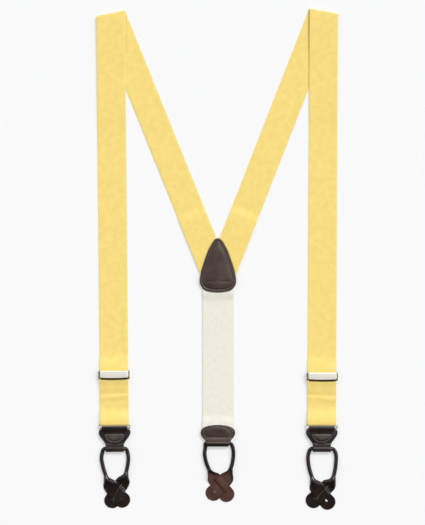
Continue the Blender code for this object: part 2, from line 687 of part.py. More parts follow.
def make_back():
    back = anchor("back", None, (0, 0, 0))
    for tag, leg in LEGS.items():
        piece("strap_back_" + tag, back_strap(leg), YELLOW, back)
        piece("strap_fold_" + tag, strap_fold(leg), YELLOW, back)
    outline = yoke_outline()
    rim_low = SECOND_MID + WEB / 2 + GAP
    piece("yoke_outer", plate(outline, 0, LEATHER), DARK_LEATHER, back)
    piece("yoke_inner", domed_yoke(outline, rim_low, rim_low + YOKE_PUFF), DARK_LEATHER, back)
    piece("yoke_filler", plate(kept_inside(outline, YOKE_RIM + 1.8 * MM), rim_low, rim_low + YOKE_PUFF - GAP), FELT, back)
    thread = 0.25 * MM
    height = rim_low + LEATHER + GAP + thread
    tube("yoke_seam", [(x, y, height) for x, y in inset(outline, 1.7 * MM)], thread, THREAD, back, closed=True)
    piece("elastic", ribbon(elastic_path(), ELASTIC_WIDTH / 2, WEB, YOKE_X), IVORY, back)

    tab_at = anchor("elastic_stretch", back, (YOKE_X, BACK_TUNNEL_Y, TUNNEL_HEIGHT))
    loop_at = anchor("back_loop_swing", tab_at, (YOKE_X, BACK_TUNNEL_Y, TUNNEL_HEIGHT))
    path = tab_path(BACK_TUNNEL_Y + BACK_TAB_TOP, BACK_TUNNEL_Y, FLOOR_MID, SECOND_MID + WEB + GAP)
    leather = ribbon(path, lambda up: back_tab_half(up - BACK_TUNNEL_Y), LEATHER, YOKE_X)
    piece("back_tab", leather, DARK_LEATHER, tab_at)
    top = SECOND_MID + WEB + GAP + LEATHER / 2 + GAP + thread
    seam = []
    for k in range(25):
        a = math.pi * (0.04 + 0.92 * k / 24)
        seam.append((YOKE_X + 18.6 * MM * math.cos(a), BACK_TUNNEL_Y + 12.6 * MM + 7.4 * MM * math.sin(a), top))
    tube("back_tab_seam", seam, thread, THREAD, tab_at)
    make_loop("back_loop", BACK_LOOP, Vector((YOKE_X, BACK_TUNNEL_Y, 0)), 1, BACK_NECK,
              FLESH_LEATHER, loop_at)


make_back()
for leg_tag, leg_sizes in LEGS.items():
    make_leg(leg_tag, leg_sizes)
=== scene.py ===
"""Button-on suspenders with a Y back: the looks of every strap, leather, fitting and thread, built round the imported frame."""

import math
from collections import namedtuple

import bmesh
import bpy
from mathutils import Matrix, Vector, noise


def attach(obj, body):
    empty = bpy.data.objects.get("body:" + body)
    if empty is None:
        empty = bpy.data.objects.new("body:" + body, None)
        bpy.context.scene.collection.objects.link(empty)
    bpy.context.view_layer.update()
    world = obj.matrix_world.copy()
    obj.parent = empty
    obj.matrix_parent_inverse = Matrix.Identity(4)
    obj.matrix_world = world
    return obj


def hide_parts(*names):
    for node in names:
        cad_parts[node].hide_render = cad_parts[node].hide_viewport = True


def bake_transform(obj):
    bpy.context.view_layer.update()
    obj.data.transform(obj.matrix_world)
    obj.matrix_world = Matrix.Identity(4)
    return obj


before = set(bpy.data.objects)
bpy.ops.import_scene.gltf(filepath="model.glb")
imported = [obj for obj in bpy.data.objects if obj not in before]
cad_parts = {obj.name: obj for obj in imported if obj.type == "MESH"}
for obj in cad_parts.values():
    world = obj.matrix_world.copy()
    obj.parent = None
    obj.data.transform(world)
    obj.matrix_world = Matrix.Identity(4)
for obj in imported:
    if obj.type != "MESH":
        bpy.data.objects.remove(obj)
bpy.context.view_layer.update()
MM = 0.001

# --- sizes, the same as the frame's ---------------------------------------------------------------------------
WEB_HALF, WEB = 17.5 * MM, 1.2 * MM
ELASTIC_HALF = 19.2 * MM
LEATHER = 1.2 * MM
FLOOR_MID, SECOND_MID = 0.6 * MM, 2.1 * MM
FOLD_RADIUS, FOLD_HEIGHT, FOLD_PIECE = 1.5 * MM, 2.1 * MM, 9.0 * MM
QUARTER = FOLD_RADIUS * math.pi / 2
Leg = namedtuple("Leg", "side fold front_lean back_lean adjuster_drop ring_drop loop")
Loop = namedtuple("Loop", "left_arm right_arm left_disc right_disc")
Arm = namedtuple("Arm", "wide flat bend shoulder flare cross")
LEGS = {
    "left": Leg(
        -1, (-129.45 * MM, 297.54 * MM), 0.55, 21.9, 438.4 * MM, 498.4 * MM,
        Loop(
            Arm(16.2, 32, (-13.4, -26.0), (-8.8, -38.0), (-2.2, -50.0), (3.1, -56.7)),
            Arm(16.4, 35, (14.5, -25.2), (10.8, -36.1), (7.7, -44.3), (2.4, -52.4)),
            (-4.1, -63.5), (8.7, -62.9),
        ),
    ),
    "right": Leg(
        1, (129.45 * MM, 300.14 * MM), -0.28, -21.3, 443.0 * MM, 501.0 * MM,
        Loop(
            Arm(16.6, 32, (-14.3, -27.0), (-9.8, -38.5), (-4.5, -48.2), (0.2, -56.6)),
            Arm(17.7, 35, (16.1, -27.5), (12.7, -38.0), (8.9, -44.4), (2.1, -52.2)),
            (-9.9, -63.4), (7.8, -65.3),
        ),
    ),
}
BACK_LOOP = Loop(
    Arm(16.2, 33, (-14.0, -24.0), (-10.0, -32.8), (-4.2, -41.7), (2.5, -51.1)),
    Arm(18.9, 33, (17.6, -24.0), (15.0, -31.6), (9.9, -41.8), (3.1, -51.1)),
    (-5.7, -60.8), (10.6, -62.4),
)
EYES = {"left": (1.1, 0.5), "right": (1.9, 1.1), "back": (1.4, 0.24)}
YOKE_X, YOKE_TOP, YOKE_BOTTOM, STRAP_END = 0.85 * MM, 25.3 * MM, -40.5 * MM, -26.5 * MM
YOKE_PUFF, YOKE_SEAM = 1.2 * MM, 3.05 * MM
BACK_TUNNEL_Y, BACK_TAB_TOP, BACK_NECK, FRONT_NECK = -224.7 * MM, 22.5 * MM, 12.9 * MM, 11.0 * MM
TUNNEL_HEIGHT, TUNNEL_RADIUS = 4.0 * MM, 3.4 * MM
CORD_RADIUS, ROLL_WIDTH, DISC_RADIUS, TONGUE_WIDTH, DISC_WIDTH = 1.85 * MM, 11.2 * MM, 9.3 * MM, 17.6 * MM, 19.2 * MM
RING_HEIGHT, RING_WIRE, RING_HALF, RING_BARS, RING_CORNER = 3.8 * MM, 0.9 * MM, 18.75 * MM, 5.2 * MM, 1.6 * MM
TURN_RADIUS, TAB_DROP, TAB_TOP = 1.8 * MM, 25.0 * MM, -1.4 * MM
FRAME_HALF, PIN_UP, PIN_HEIGHT, PIN_RADIUS, BARREL = 18.95 * MM, 3.4 * MM, 6.2 * MM, 0.7 * MM, 1.7 * MM
LEVER_HALF, LEVER_TAIL, LEVER_BOW = 17.1 * MM, -9.0 * MM, 0.55 * MM
LEVER_NOSE, LEVER_CORNER = 2.3 * MM, 1.3 * MM
BAR_WRAP = (-3.9 * MM, 2.05 * MM, 1.45 * MM)
JOIN_UP = 3.85 * MM  # above an adjuster's middle: where its long webbing meets the doubled one
GAP = 0.3 * MM  # left between pieces that would touch
MOON_HALF, MOON_DEEP, MOON_LEVEL = 13.3 * MM, 12.1 * MM, -6.5 * MM
MOON_ROW = -7.2 * MM
SLIT_ABOVE, SLIT_BELOW, SLIT_HIGHLIGHT_BAND = 10.4 * MM, 10.2 * MM, 0.4 * MM
SLIT_RISE = 1.4  # millimetres
LOOP_COLUMNS = 20
THREAD = 0.25 * MM
TAB_STITCH = {"length": 1.35 * MM, "gap": 0.55 * MM}
# A rim below 0 marks leather beside a front loop's slit; there the grain finish lays a light brown painted highlight.
PAINTED_HIGHLIGHT_RIM, PAINTED_HIGHLIGHT_COLOUR = -1.0 * MM, (0.115, 0.092, 0.080, 1)


def smooth(low, high, x):
    t = min(1.0, max(0.0, (x - low) / (high - low)))
    return t * t * (3 - 2 * t)


def mix(a, b, t):
    return a + (b - a) * t


def arc(centre, radius, start, end, count):
    turns = [math.radians(mix(start, end, i / (count - 1))) for i in range(count)]
    return [(centre[0] + radius * math.cos(a), centre[1] + radius * math.sin(a)) for a in turns]


def curve_through(points, steps):
    points = [Vector(p) for p in points]
    ends = [2 * points[0] - points[1], *points, 2 * points[-1] - points[-2]]
    found = []
    for a, b, c, d in zip(ends, ends[1:], ends[2:], ends[3:]):
        for i in range(steps):
            t = i / steps
            found.append(
                0.5 * (2 * b + (c - a) * t + (2 * a - 5 * b + 4 * c - d) * t**2 + (3 * b - a - 3 * c + d) * t**3)
            )
    return [*found, points[-1]]


def evenly(points, step):
    """The same line, with points one step apart."""
    run = [0.0]
    for a, b in zip(points, points[1:]):
        run.append(run[-1] + (b - a).length)
    count = max(2, round(run[-1] / step))
    found, k = [], 0
    for i in range(count + 1):
        target = run[-1] * i / count
        while k < len(points) - 2 and run[k + 1] < target:
            k += 1
        found.append(points[k].lerp(points[k + 1], (target - run[k]) / max(1e-9, run[k + 1] - run[k])))
    return found


# --- shader groups --------------------------------------------------------------------------------------------
def add(tree, kind, settings=None, **sockets):
    """A node with its settings and sockets filled in. A socket's value may be another node's output."""
    made = tree.nodes.new(kind)
    for key, value in (settings or {}).items():
        setattr(made, key, value)
    for key, value in sockets.items():
        at = made.inputs[int(key[1:])] if key[1:].isdigit() else made.inputs[key.replace("_", " ")]
        if isinstance(value, bpy.types.NodeSocket):
            tree.links.new(value, at)
        else:
            at.default_value = value
    return made


def sums(tree, operation, a, b=0.0, c=0.0):
    return add(tree, "ShaderNodeMath", {"operation": operation}, i0=a, i1=b, i2=c).outputs[0]


def spread(tree, value, low, high, to_low=0.0, to_high=1.0):
    made = add(tree, "ShaderNodeMapRange", {"interpolation_type": "SMOOTHSTEP"}, Value=value, From_Min=low,
               From_Max=high, To_Min=to_low, To_Max=to_high)
    return made.outputs["Result"]


def blend_colour(tree, factor, a, b):
    made = add(tree, "ShaderNodeMix", {"data_type": "RGBA"}, i0=factor, i6=a, i7=b)
    return made.outputs[2]


def group(name, inputs, outputs):
    """A new shader group with named sockets, and its inside ends."""
    tree = bpy.data.node_groups.new(name, "ShaderNodeTree")
    for label, kind, value in inputs:
        socket = tree.interface.new_socket(name=label, in_out="INPUT", socket_type="NodeSocket" + kind)
        if value is not None:
            socket.default_value = value
    for label, kind in outputs:
        tree.interface.new_socket(name=label, in_out="OUTPUT", socket_type="NodeSocket" + kind)
    return tree, tree.nodes.new("NodeGroupInput").outputs, tree.nodes.new("NodeGroupOutput").inputs


def twill_weave():
    """Fine diagonal wales of a twill, with the weft showing as beads along each wale."""
    tree, given, out = group(
        "twill_weave", [("Strap", "Vector", None), ("Wale", "Float", 0.0009), ("Yarn", "Float", 0.0005)],
        [("Height", "Float"), ("Hollow", "Float"), ("Slub", "Float")],
    )
    split = add(tree, "ShaderNodeSeparateXYZ", Vector=given["Strap"]).outputs
    slub = add(tree, "ShaderNodeTexNoise", Vector=given["Strap"], Scale=900.0, Detail=2.0).outputs[0]
    diagonal = sums(tree, "ADD", sums(tree, "MULTIPLY", split[0], 0.78), sums(tree, "MULTIPLY", split[1], 0.62))
    phase = sums(tree, "MULTIPLY", sums(tree, "DIVIDE", diagonal, given["Wale"]), math.tau)
    phase = sums(tree, "ADD", phase, sums(tree, "MULTIPLY", slub, 1.3))
    wale = sums(tree, "MULTIPLY_ADD", sums(tree, "SINE", phase), 0.5, 0.5)
    weft = sums(tree, "MULTIPLY", sums(tree, "DIVIDE", split[1], given["Yarn"]), math.tau)
    weft = sums(tree, "ADD", weft, sums(tree, "MULTIPLY", phase, 0.5))
    weft = sums(tree, "MULTIPLY_ADD", sums(tree, "SINE", weft), 0.5, 0.5)
    height = sums(tree, "ADD", sums(tree, "MULTIPLY", wale, 0.65), sums(tree, "MULTIPLY", weft, 0.35))
    tree.links.new(height, out["Height"])
    tree.links.new(sums(tree, "POWER", sums(tree, "SUBTRACT", 1.0, height), 1.6), out["Hollow"])
    wide = add(tree, "ShaderNodeTexNoise", Vector=given["Strap"], Scale=120.0, Detail=3.0).outputs[0]
    tree.links.new(wide, out["Slub"])
    return tree


def ribbed_weave():
    """Lengthwise ribs of an elastic, crossed by its weft."""
    tree, given, out = group(
        "ribbed_weave", [("Strap", "Vector", None), ("Rib", "Float", 0.0011), ("Weft", "Float", 0.0007)],
        [("Height", "Float"), ("Hollow", "Float")],
    )
    split = add(tree, "ShaderNodeSeparateXYZ", Vector=given["Strap"]).outputs
    rib = sums(tree, "MULTIPLY", sums(tree, "DIVIDE", split[0], given["Rib"]), math.pi)
    rib = sums(tree, "ABSOLUTE", sums(tree, "SINE", rib))
    weft = sums(tree, "MULTIPLY", sums(tree, "DIVIDE", split[1], given["Weft"]), math.pi)
    weft = sums(tree, "ABSOLUTE", sums(tree, "SINE", weft))
    height = sums(tree, "ADD", sums(tree, "MULTIPLY", rib, 0.7), sums(tree, "MULTIPLY", weft, 0.3))
    tree.links.new(height, out["Height"])
    tree.links.new(sums(tree, "POWER", sums(tree, "SUBTRACT", 1.0, height), 2.0), out["Hollow"])
    return tree


def selvedge():
    """1 along a strap's woven edges, 0 in its field. Across is the distance from the middle line."""
    tree, given, out = group(
        "selvedge", [("Strap", "Vector", None), ("Half Width", "Float", 0.0175), ("Band", "Float", 0.0012)],
        [("Edge", "Float")],
    )
    across = sums(tree, "ABSOLUTE", add(tree, "ShaderNodeSeparateXYZ", Vector=given["Strap"]).outputs[0])
    inside = sums(tree, "DIVIDE", sums(tree, "SUBTRACT", given["Half Width"], across), given["Band"])
    tree.links.new(sums(tree, "SUBTRACT", 1.0, sums(tree, "SMOOTH_MIN", inside, 1.0, 0.2)), out["Edge"])
    return tree


def leather_grain():
    """Pebbles, creases and pores of a calf grain."""
    tree, given, out = group(
        "leather_grain", [("Place", "Vector", None), ("Pebble", "Float", 1400.0), ("Crease", "Float", 320.0)],
        [("Height", "Float"), ("Pores", "Float"), ("Drift", "Float")],
    )
    warp = add(tree, "ShaderNodeTexNoise", Vector=given["Place"], Scale=600.0, Detail=2.0).outputs[1]
    bent = add(tree, "ShaderNodeVectorMath", {"operation": "MULTIPLY_ADD"}, i0=warp, i1=(0.0008,) * 3, i2=given["Place"])
    bent = bent.outputs[0]
    pebble = add(tree, "ShaderNodeTexVoronoi", {"feature": "SMOOTH_F1"}, Vector=bent, Scale=given["Pebble"]).outputs[0]
    crease = add(tree, "ShaderNodeTexNoise", Vector=bent, Scale=given["Crease"], Detail=5.0, Roughness=0.6).outputs[0]
    raised = sums(tree, "MULTIPLY", sums(tree, "SUBTRACT", 1.0, pebble), 0.55)
    tree.links.new(sums(tree, "ADD", raised, sums(tree, "MULTIPLY", crease, 0.6)), out["Height"])
    tree.links.new(spread(tree, pebble, 0.45, 0.8), out["Pores"])
    drift = add(tree, "ShaderNodeTexNoise", Vector=given["Place"], Scale=60.0, Detail=3.0).outputs[0]
    tree.links.new(drift, out["Drift"])
    return tree


def cut_edge():
    """1 on the burnished band beside a cut edge of leather, 0 away from it."""
    tree, given, out = group(
        "cut_edge", [("Distance", "Float", 0.0), ("Band", "Float", 0.0009), ("Break Up", "Float", 0.0)],
        [("Edge", "Float")],
    )
    ragged = sums(tree, "MULTIPLY_ADD", given["Break Up"], 0.5, 0.75)
    wide = sums(tree, "MULTIPLY", given["Band"], ragged)
    away = spread(tree, sums(tree, "DIVIDE", given["Distance"], wide), 0.15, 1.0)
    tree.links.new(sums(tree, "SUBTRACT", 1.0, away), out["Edge"])
    return tree


def fibre_nap():
    """Short fibres of felt, suede or cotton."""
    tree, given, out = group(
        "fibre_nap", [("Place", "Vector", None), ("Fibre", "Float", 2500.0)], [("Height", "Float"), ("Tone", "Float")]
    )
    fine = add(tree, "ShaderNodeTexNoise", Vector=given["Place"], Scale=given["Fibre"], Detail=4.0, Roughness=0.7).outputs[0]
    broad = add(tree, "ShaderNodeTexNoise", Vector=given["Place"], Scale=180.0, Detail=3.0).outputs[0]
    tree.links.new(sums(tree, "ADD", sums(tree, "MULTIPLY", fine, 0.7), sums(tree, "MULTIPLY", broad, 0.3)), out["Height"])
    tree.links.new(spread(tree, broad, 0.3, 0.7), out["Tone"])
    return tree


def polish_marks():
    """Hairline scratches, faint smears and the haze of handled plate."""
    tree, given, out = group(
        "polish_marks", [("Place", "Vector", None), ("Length", "Float", 60.0), ("Fineness", "Float", 5000.0)],
        [("Haze", "Float"), ("Lines", "Float")],
    )
    split = add(tree, "ShaderNodeSeparateXYZ", Vector=given["Place"]).outputs
    along, *across = [
        sums(tree, "MULTIPLY", part, given[scale]) for part, scale in zip(split, ("Length", "Fineness", "Fineness"))
    ]
    drawn = add(tree, "ShaderNodeCombineXYZ", X=along, Y=across[0], Z=across[1]).outputs[0]
    tree.links.new(add(tree, "ShaderNodeTexNoise", Vector=drawn, Scale=1.0, Detail=2.0).outputs[0], out["Lines"])
    haze = add(tree, "ShaderNodeTexNoise", Vector=given["Place"], Scale=260.0, Detail=4.0).outputs[0]
    tree.links.new(spread(tree, haze, 0.35, 0.7), out["Haze"])
    return tree


GROUPS = {
    make.__name__: make()
    for make in (twill_weave, ribbed_weave, selvedge, leather_grain, cut_edge, fibre_nap, polish_marks)
}


def place_group(tree, name, **sockets):
    return add(tree, "ShaderNodeGroup", {"node_tree": GROUPS[name]}, **sockets).outputs


# --- finishes -------------------------------------------------------------------------------------------------
def finish(name):
    made = bpy.data.materials.new(name)
    made.use_nodes = True
    tree = made.node_tree
    return made, tree, tree.nodes["Principled BSDF"].inputs


def bump(tree, height, distance, strength=1.0):
    return add(tree, "ShaderNodeBump", Height=height, Distance=distance, Strength=strength).outputs[0]


def webbing_finish():
    made, tree, shader = finish("yellow_twill_webbing")
    strap = add(tree, "ShaderNodeTexCoord").outputs["UV"]
    weave = place_group(tree, "twill_weave", Strap=strap, Wale=0.00095, Yarn=0.00052)
    edge = place_group(tree, "selvedge", Strap=strap, Half_Width=0.0175, Band=0.0011)[0]
    field = blend_colour(tree, spread(tree, weave["Slub"], 0.35, 0.68), (0.89, 0.69, 0.205, 1), (0.93, 0.75, 0.245, 1))
    woven = blend_colour(tree, sums(tree, "MULTIPLY", weave["Hollow"], 0.55), field, (0.76, 0.50, 0.11, 1))
    tree.links.new(blend_colour(tree, sums(tree, "MULTIPLY", edge, 0.45), woven, (0.93, 0.82, 0.44, 1)), shader["Base Color"])
    tree.links.new(spread(tree, weave["Height"], 0.0, 1.0, 0.85, 0.62), shader["Roughness"])
    tree.links.new(bump(tree, weave["Height"], 0.00010, 0.8), shader["Normal"])
    shader["Specular IOR Level"].default_value = 0.3
    shader["Sheen Weight"].default_value = 0.25
    shader["Sheen Roughness"].default_value = 0.4
    shader["Sheen Tint"].default_value = (1.0, 0.9, 0.6, 1)
    return made


def elastic_finish():
    made, tree, shader = finish("ivory_elastic")
    strap = add(tree, "ShaderNodeTexCoord").outputs["UV"]
    weave = place_group(tree, "ribbed_weave", Strap=strap, Rib=0.0012, Weft=0.00075)
    edge = place_group(tree, "selvedge", Strap=strap, Half_Width=0.0192, Band=0.0014)[0]
    tone = place_group(tree, "fibre_nap", Place=strap, Fibre=1800.0)
    field = blend_colour(tree, tone["Tone"], (0.79, 0.765, 0.66, 1), (0.83, 0.81, 0.71, 1))
    woven = blend_colour(tree, sums(tree, "MULTIPLY", weave["Hollow"], 0.5), field, (0.60, 0.58, 0.48, 1))
    tree.links.new(blend_colour(tree, sums(tree, "MULTIPLY", edge, 0.35), woven, (0.60, 0.58, 0.47, 1)), shader["Base Color"])
    tree.links.new(spread(tree, weave["Height"], 0.0, 1.0, 0.9, 0.7), shader["Roughness"])
    tree.links.new(bump(tree, weave["Height"], 0.00014, 0.7), shader["Normal"])
    shader["Specular IOR Level"].default_value = 0.25
    shader["Sheen Weight"].default_value = 0.2
    return made


def grain_finish(name, deep, lifted, edge_colour, shine, pebble, crease=320.0):
    """Dyed grain side of the leather. deep and lifted are the colours in the pores and on the pebbles.
    Where rim is below 0, as along a loop's slit, a light brown painted highlight is laid on the leather."""
    made, tree, shader = finish(name)
    place = add(tree, "ShaderNodeTexCoord").outputs["Object"]
    grain = place_group(tree, "leather_grain", Place=place, Pebble=pebble, Crease=crease)
    rim = add(tree, "ShaderNodeAttribute", {"attribute_name": "rim"}).outputs["Fac"]
    edge = place_group(tree, "cut_edge", Distance=rim, Band=0.0009, Break_Up=grain["Drift"])[0]
    field = blend_colour(tree, spread(tree, grain["Drift"], 0.3, 0.7), (*deep, 1), (*lifted, 1))
    pored = blend_colour(tree, sums(tree, "MULTIPLY", grain["Pores"], 0.5), field, (*[c * 0.5 for c in deep], 1))
    # Where rim is below 0 the colour is lifted to light brown: a painted highlight.
    painted_highlight = spread(tree, rim, 0.7 * PAINTED_HIGHLIGHT_RIM, 0.0, 1.0, 0.0)
    edged = blend_colour(tree, edge, pored, (*edge_colour, 1))
    tree.links.new(blend_colour(tree, painted_highlight, edged, PAINTED_HIGHLIGHT_COLOUR), shader["Base Color"])
    rough = spread(tree, grain["Drift"], 0.25, 0.75, shine, shine + 0.10)
    tree.links.new(sums(tree, "MULTIPLY_ADD", grain["Pores"], 0.12, rough), shader["Roughness"])
    tree.links.new(bump(tree, grain["Height"], 0.00009, 0.6), shader["Normal"])
    shader["Specular IOR Level"].default_value = 0.5
    return made


def flesh_finish():
    made, tree, shader = finish("brown_flesh_side")
    place = add(tree, "ShaderNodeTexCoord").outputs["Object"]
    nap = place_group(tree, "fibre_nap", Place=place, Fibre=2600.0)
    rim = add(tree, "ShaderNodeAttribute", {"attribute_name": "rim"}).outputs["Fac"]
    edge = place_group(tree, "cut_edge", Distance=rim, Band=0.0011, Break_Up=nap["Tone"])[0]
    field = blend_colour(tree, nap["Tone"], (0.058, 0.020, 0.013, 1), (0.078, 0.029, 0.019, 1))
    tree.links.new(blend_colour(tree, sums(tree, "MULTIPLY", edge, 0.85), field, (0.014, 0.008, 0.006, 1)), shader["Base Color"])
    tree.links.new(spread(tree, nap["Height"], 0.2, 0.8, 0.78, 0.62), shader["Roughness"])
    tree.links.new(bump(tree, nap["Height"], 0.00010, 0.6), shader["Normal"])
    shader["Specular IOR Level"].default_value = 0.3
    shader["Sheen Weight"].default_value = 0.15
    return made


def nickel_finish():
    made, tree, shader = finish("polished_nickel_plate")
    place = add(tree, "ShaderNodeTexCoord").outputs["Object"]
    marks = place_group(tree, "polish_marks", Place=place, Length=90.0, Fineness=5200.0)
    tree.links.new(blend_colour(tree, marks["Haze"], (0.80, 0.78, 0.72, 1), (0.74, 0.715, 0.65, 1)), shader["Base Color"])
    rough = sums(tree, "MULTIPLY_ADD", marks["Lines"], 0.08, sums(tree, "MULTIPLY_ADD", marks["Haze"], 0.07, 0.13))
    tree.links.new(rough, shader["Roughness"])
    tree.links.new(bump(tree, marks["Lines"], 0.000012, 0.5), shader["Normal"])
    shader["Metallic"].default_value = 1.0
    return made


def lever_lip_painted_shade_finish():
    """Near-black brown on the lip along the clamp levers: painted shade for the gap under the lever's lower edge."""
    made, tree, shader = finish("lever_lip_painted_shade")
    place = add(tree, "ShaderNodeTexCoord").outputs["Object"]
    marks = place_group(tree, "polish_marks", Place=place, Length=70.0, Fineness=4200.0)
    tree.links.new(blend_colour(tree, marks["Haze"], (0.050, 0.038, 0.018, 1), (0.085, 0.064, 0.030, 1)), shader["Base Color"])
    shader["Roughness"].default_value = 0.5
    shader["Metallic"].default_value = 0.6
    return made


def lever_face_painted_reflection_finish():
    """Softly polished face of the clamp levers, coloured pale cream, brighter and milkier than the plated wire: a
    painted reflection of the white studio and the yellow webbing.
    """
    made, tree, shader = finish("lever_nickel_painted_reflection")
    place = add(tree, "ShaderNodeTexCoord").outputs["Object"]
    marks = place_group(tree, "polish_marks", Place=place, Length=70.0, Fineness=4200.0)
    tree.links.new(blend_colour(tree, marks["Haze"], (0.93, 0.905, 0.82, 1), (0.87, 0.835, 0.735, 1)), shader["Base Color"])
    tree.links.new(sums(tree, "MULTIPLY_ADD", marks["Lines"], 0.06, 0.40), shader["Roughness"])
    tree.links.new(bump(tree, marks["Lines"], 0.000012, 0.4), shader["Normal"])
    shader["Metallic"].default_value = 0.35
    return made


def thread_finish(name, deep, lifted):
    made, tree, shader = finish(name)
    place = add(tree, "ShaderNodeTexCoord").outputs["Object"]
    nap = place_group(tree, "fibre_nap", Place=place, Fibre=5200.0)
    tree.links.new(blend_colour(tree, nap["Height"], (*deep, 1), (*lifted, 1)), shader["Base Color"])
    tree.links.new(spread(tree, nap["Tone"], 0.0, 1.0, 0.45, 0.6), shader["Roughness"])
    tree.links.new(bump(tree, nap["Height"], 0.00008, 0.7), shader["Normal"])
    return made


def nap_finish(name, deep, lifted, fibre):
    made, tree, shader = finish(name)
    place = add(tree, "ShaderNodeTexCoord").outputs["Object"]
    nap = place_group(tree, "fibre_nap", Place=place, Fibre=fibre)
    tree.links.new(blend_colour(tree, nap["Height"], (*deep, 1), (*lifted, 1)), shader["Base Color"])
    tree.links.new(spread(tree, nap["Height"], 0.2, 0.8, 0.95, 0.8), shader["Roughness"])
    tree.links.new(bump(tree, nap["Height"], 0.0003, 0.8), shader["Normal"])
    shader["Sheen Weight"].default_value = 0.3
    return made


WEBBING = webbing_finish()
ELASTIC = elastic_finish()
TAB_GRAIN = grain_finish(
    "dark_glossy_calf", (0.019, 0.0115, 0.0095), (0.032, 0.0215, 0.018), (0.007, 0.004, 0.003), 0.27, 1500.0, 360.0
)
# The half moon's calf is the front tab's, painted lighter: a painted sheen for the light its puffed panel catches.
MOON_GRAIN_PAINTED_SHEEN = grain_finish(
    "glossy_calf_painted_sheen", (0.030, 0.020, 0.017), (0.050, 0.037, 0.033), (0.009, 0.006, 0.005), 0.30, 1500.0, 360.0
)
CALF = grain_finish(
    "dark_brown_calf", (0.044, 0.025, 0.019), (0.064, 0.039, 0.031), (0.010, 0.006, 0.005), 0.36, 1300.0
)
# Near-black grain of the loops; also laid on the half moon's strap and the back tab's tunnel as painted shade.
LOOP_GRAIN_AND_PAINTED_SHADE = grain_finish(
    "near_black_loop_leather_and_painted_shade", (0.010, 0.0052, 0.0036), (0.015, 0.008, 0.0056), (0.006, 0.003, 0.002), 0.20, 1900.0,
    420.0,
)
FLESH = flesh_finish()
NICKEL = nickel_finish()
DARK_THREAD = thread_finish("brown_waxed_thread", (0.060, 0.046, 0.040), (0.24, 0.21, 0.19))
LEVER_FACE_PAINTED_REFLECTION = lever_face_painted_reflection_finish()
LEVER_LIP_PAINTED_SHADE = lever_lip_painted_shade_finish()
FELT = nap_finish("brown_felt", (0.16, 0.13, 0.11), (0.30, 0.26, 0.22), 1500.0)
COTTON = nap_finish("cotton_core", (0.30, 0.26, 0.20), (0.58, 0.53, 0.44), 2200.0)


# --- mesh making ----------------------------------------------------------------------------------------------
Slit = namedtuple("Slit", "start end column")


def settle(name, mesh, finishes, place, sharp=42):
    made = bpy.data.objects.new(name, mesh)
    bpy.context.scene.collection.objects.link(made)
    if place is not None:
        mesh.transform(place)
    for one in finishes:
        mesh.materials.append(one)
    mesh.shade_smooth()
    mesh.set_sharp_from_angle(angle=math.radians(sharp))
    return made


def sheet_solid(name, rows, cols, at, finishes, place=None, slit=None, sharp=42):
    """A thin closed solid on a grid. at(i, k, copy) gives its outer point, inner point, strap coordinates and
    distance from the cut edge. In a slit's rows its column is doubled, so that the two sides can lie apart."""
    bm = bmesh.new()
    uv = bm.loops.layers.uv.new("UVMap")
    rim = bm.verts.layers.float.new("rim")
    found, verts, strap = {}, {}, {}

    def vert(layer, i, k, copy):
        split = slit is not None and slit.start < i < slit.end and k == slit.column
        copy = copy if split else 0
        if (i, k, copy) not in found:
            found[i, k, copy] = at(i, k, copy if split else None)
        if (layer, i, k, copy) not in verts:
            outer, inner, u, v, distance = found[i, k, copy]
            made = bm.verts.new(inner if layer else outer)
            made[rim] = distance
            verts[layer, i, k, copy] = made
            strap[made] = (u, v)
        return verts[layer, i, k, copy]

    def face(corners, material):
        made = bm.faces.new(corners)
        made.material_index = min(material, len(finishes) - 1)

    for i in range(rows):
        for k in range(cols):
            for layer in (0, 1):
                left = [vert(layer, i, k, 1), vert(layer, i + 1, k, 1)]
                face([*left, vert(layer, i + 1, k + 1, 0), vert(layer, i, k + 1, 0)], layer)
        for k in (0, cols):
            face([vert(0, i, k, 0), vert(0, i + 1, k, 0), vert(1, i + 1, k, 0), vert(1, i, k, 0)], 0)
    for i in (0, rows):
        for k in range(cols):
            face([vert(0, i, k, 0), vert(0, i, k + 1, 0), vert(1, i, k + 1, 0), vert(1, i, k, 0)], 0)
    if slit is not None:
        m = slit.column
        for i in range(slit.start, slit.end):
            for copy in (0, 1):
                face([vert(0, i, m, copy), vert(0, i + 1, m, copy), vert(1, i + 1, m, copy), vert(1, i, m, copy)], 0)
    bmesh.ops.recalc_face_normals(bm, faces=bm.faces)
    for f in bm.faces:
        for corner in f.loops:
            corner[uv].uv = strap[corner.vert]
    mesh = bpy.data.meshes.new(name)
    bm.to_mesh(mesh)
    bm.free()
    return settle(name, mesh, finishes, place, sharp)


def columns(inner, edge=0.03, thin=0.45):
    """Places across a strip from -1 to 1, closer at its edges, each with its share of the full thickness."""
    side = [(-1.0, thin), (-1.0 + edge * 0.35, mix(thin, 1, 0.7)), (-1.0 + edge, 1.0)]
    middle = [(mix(-1.0 + edge, 1.0 - edge, (k + 1) / (inner + 1)), 1.0) for k in range(inner)]
    return [*side, *middle, *[(-f, t) for f, t in reversed(side)]]


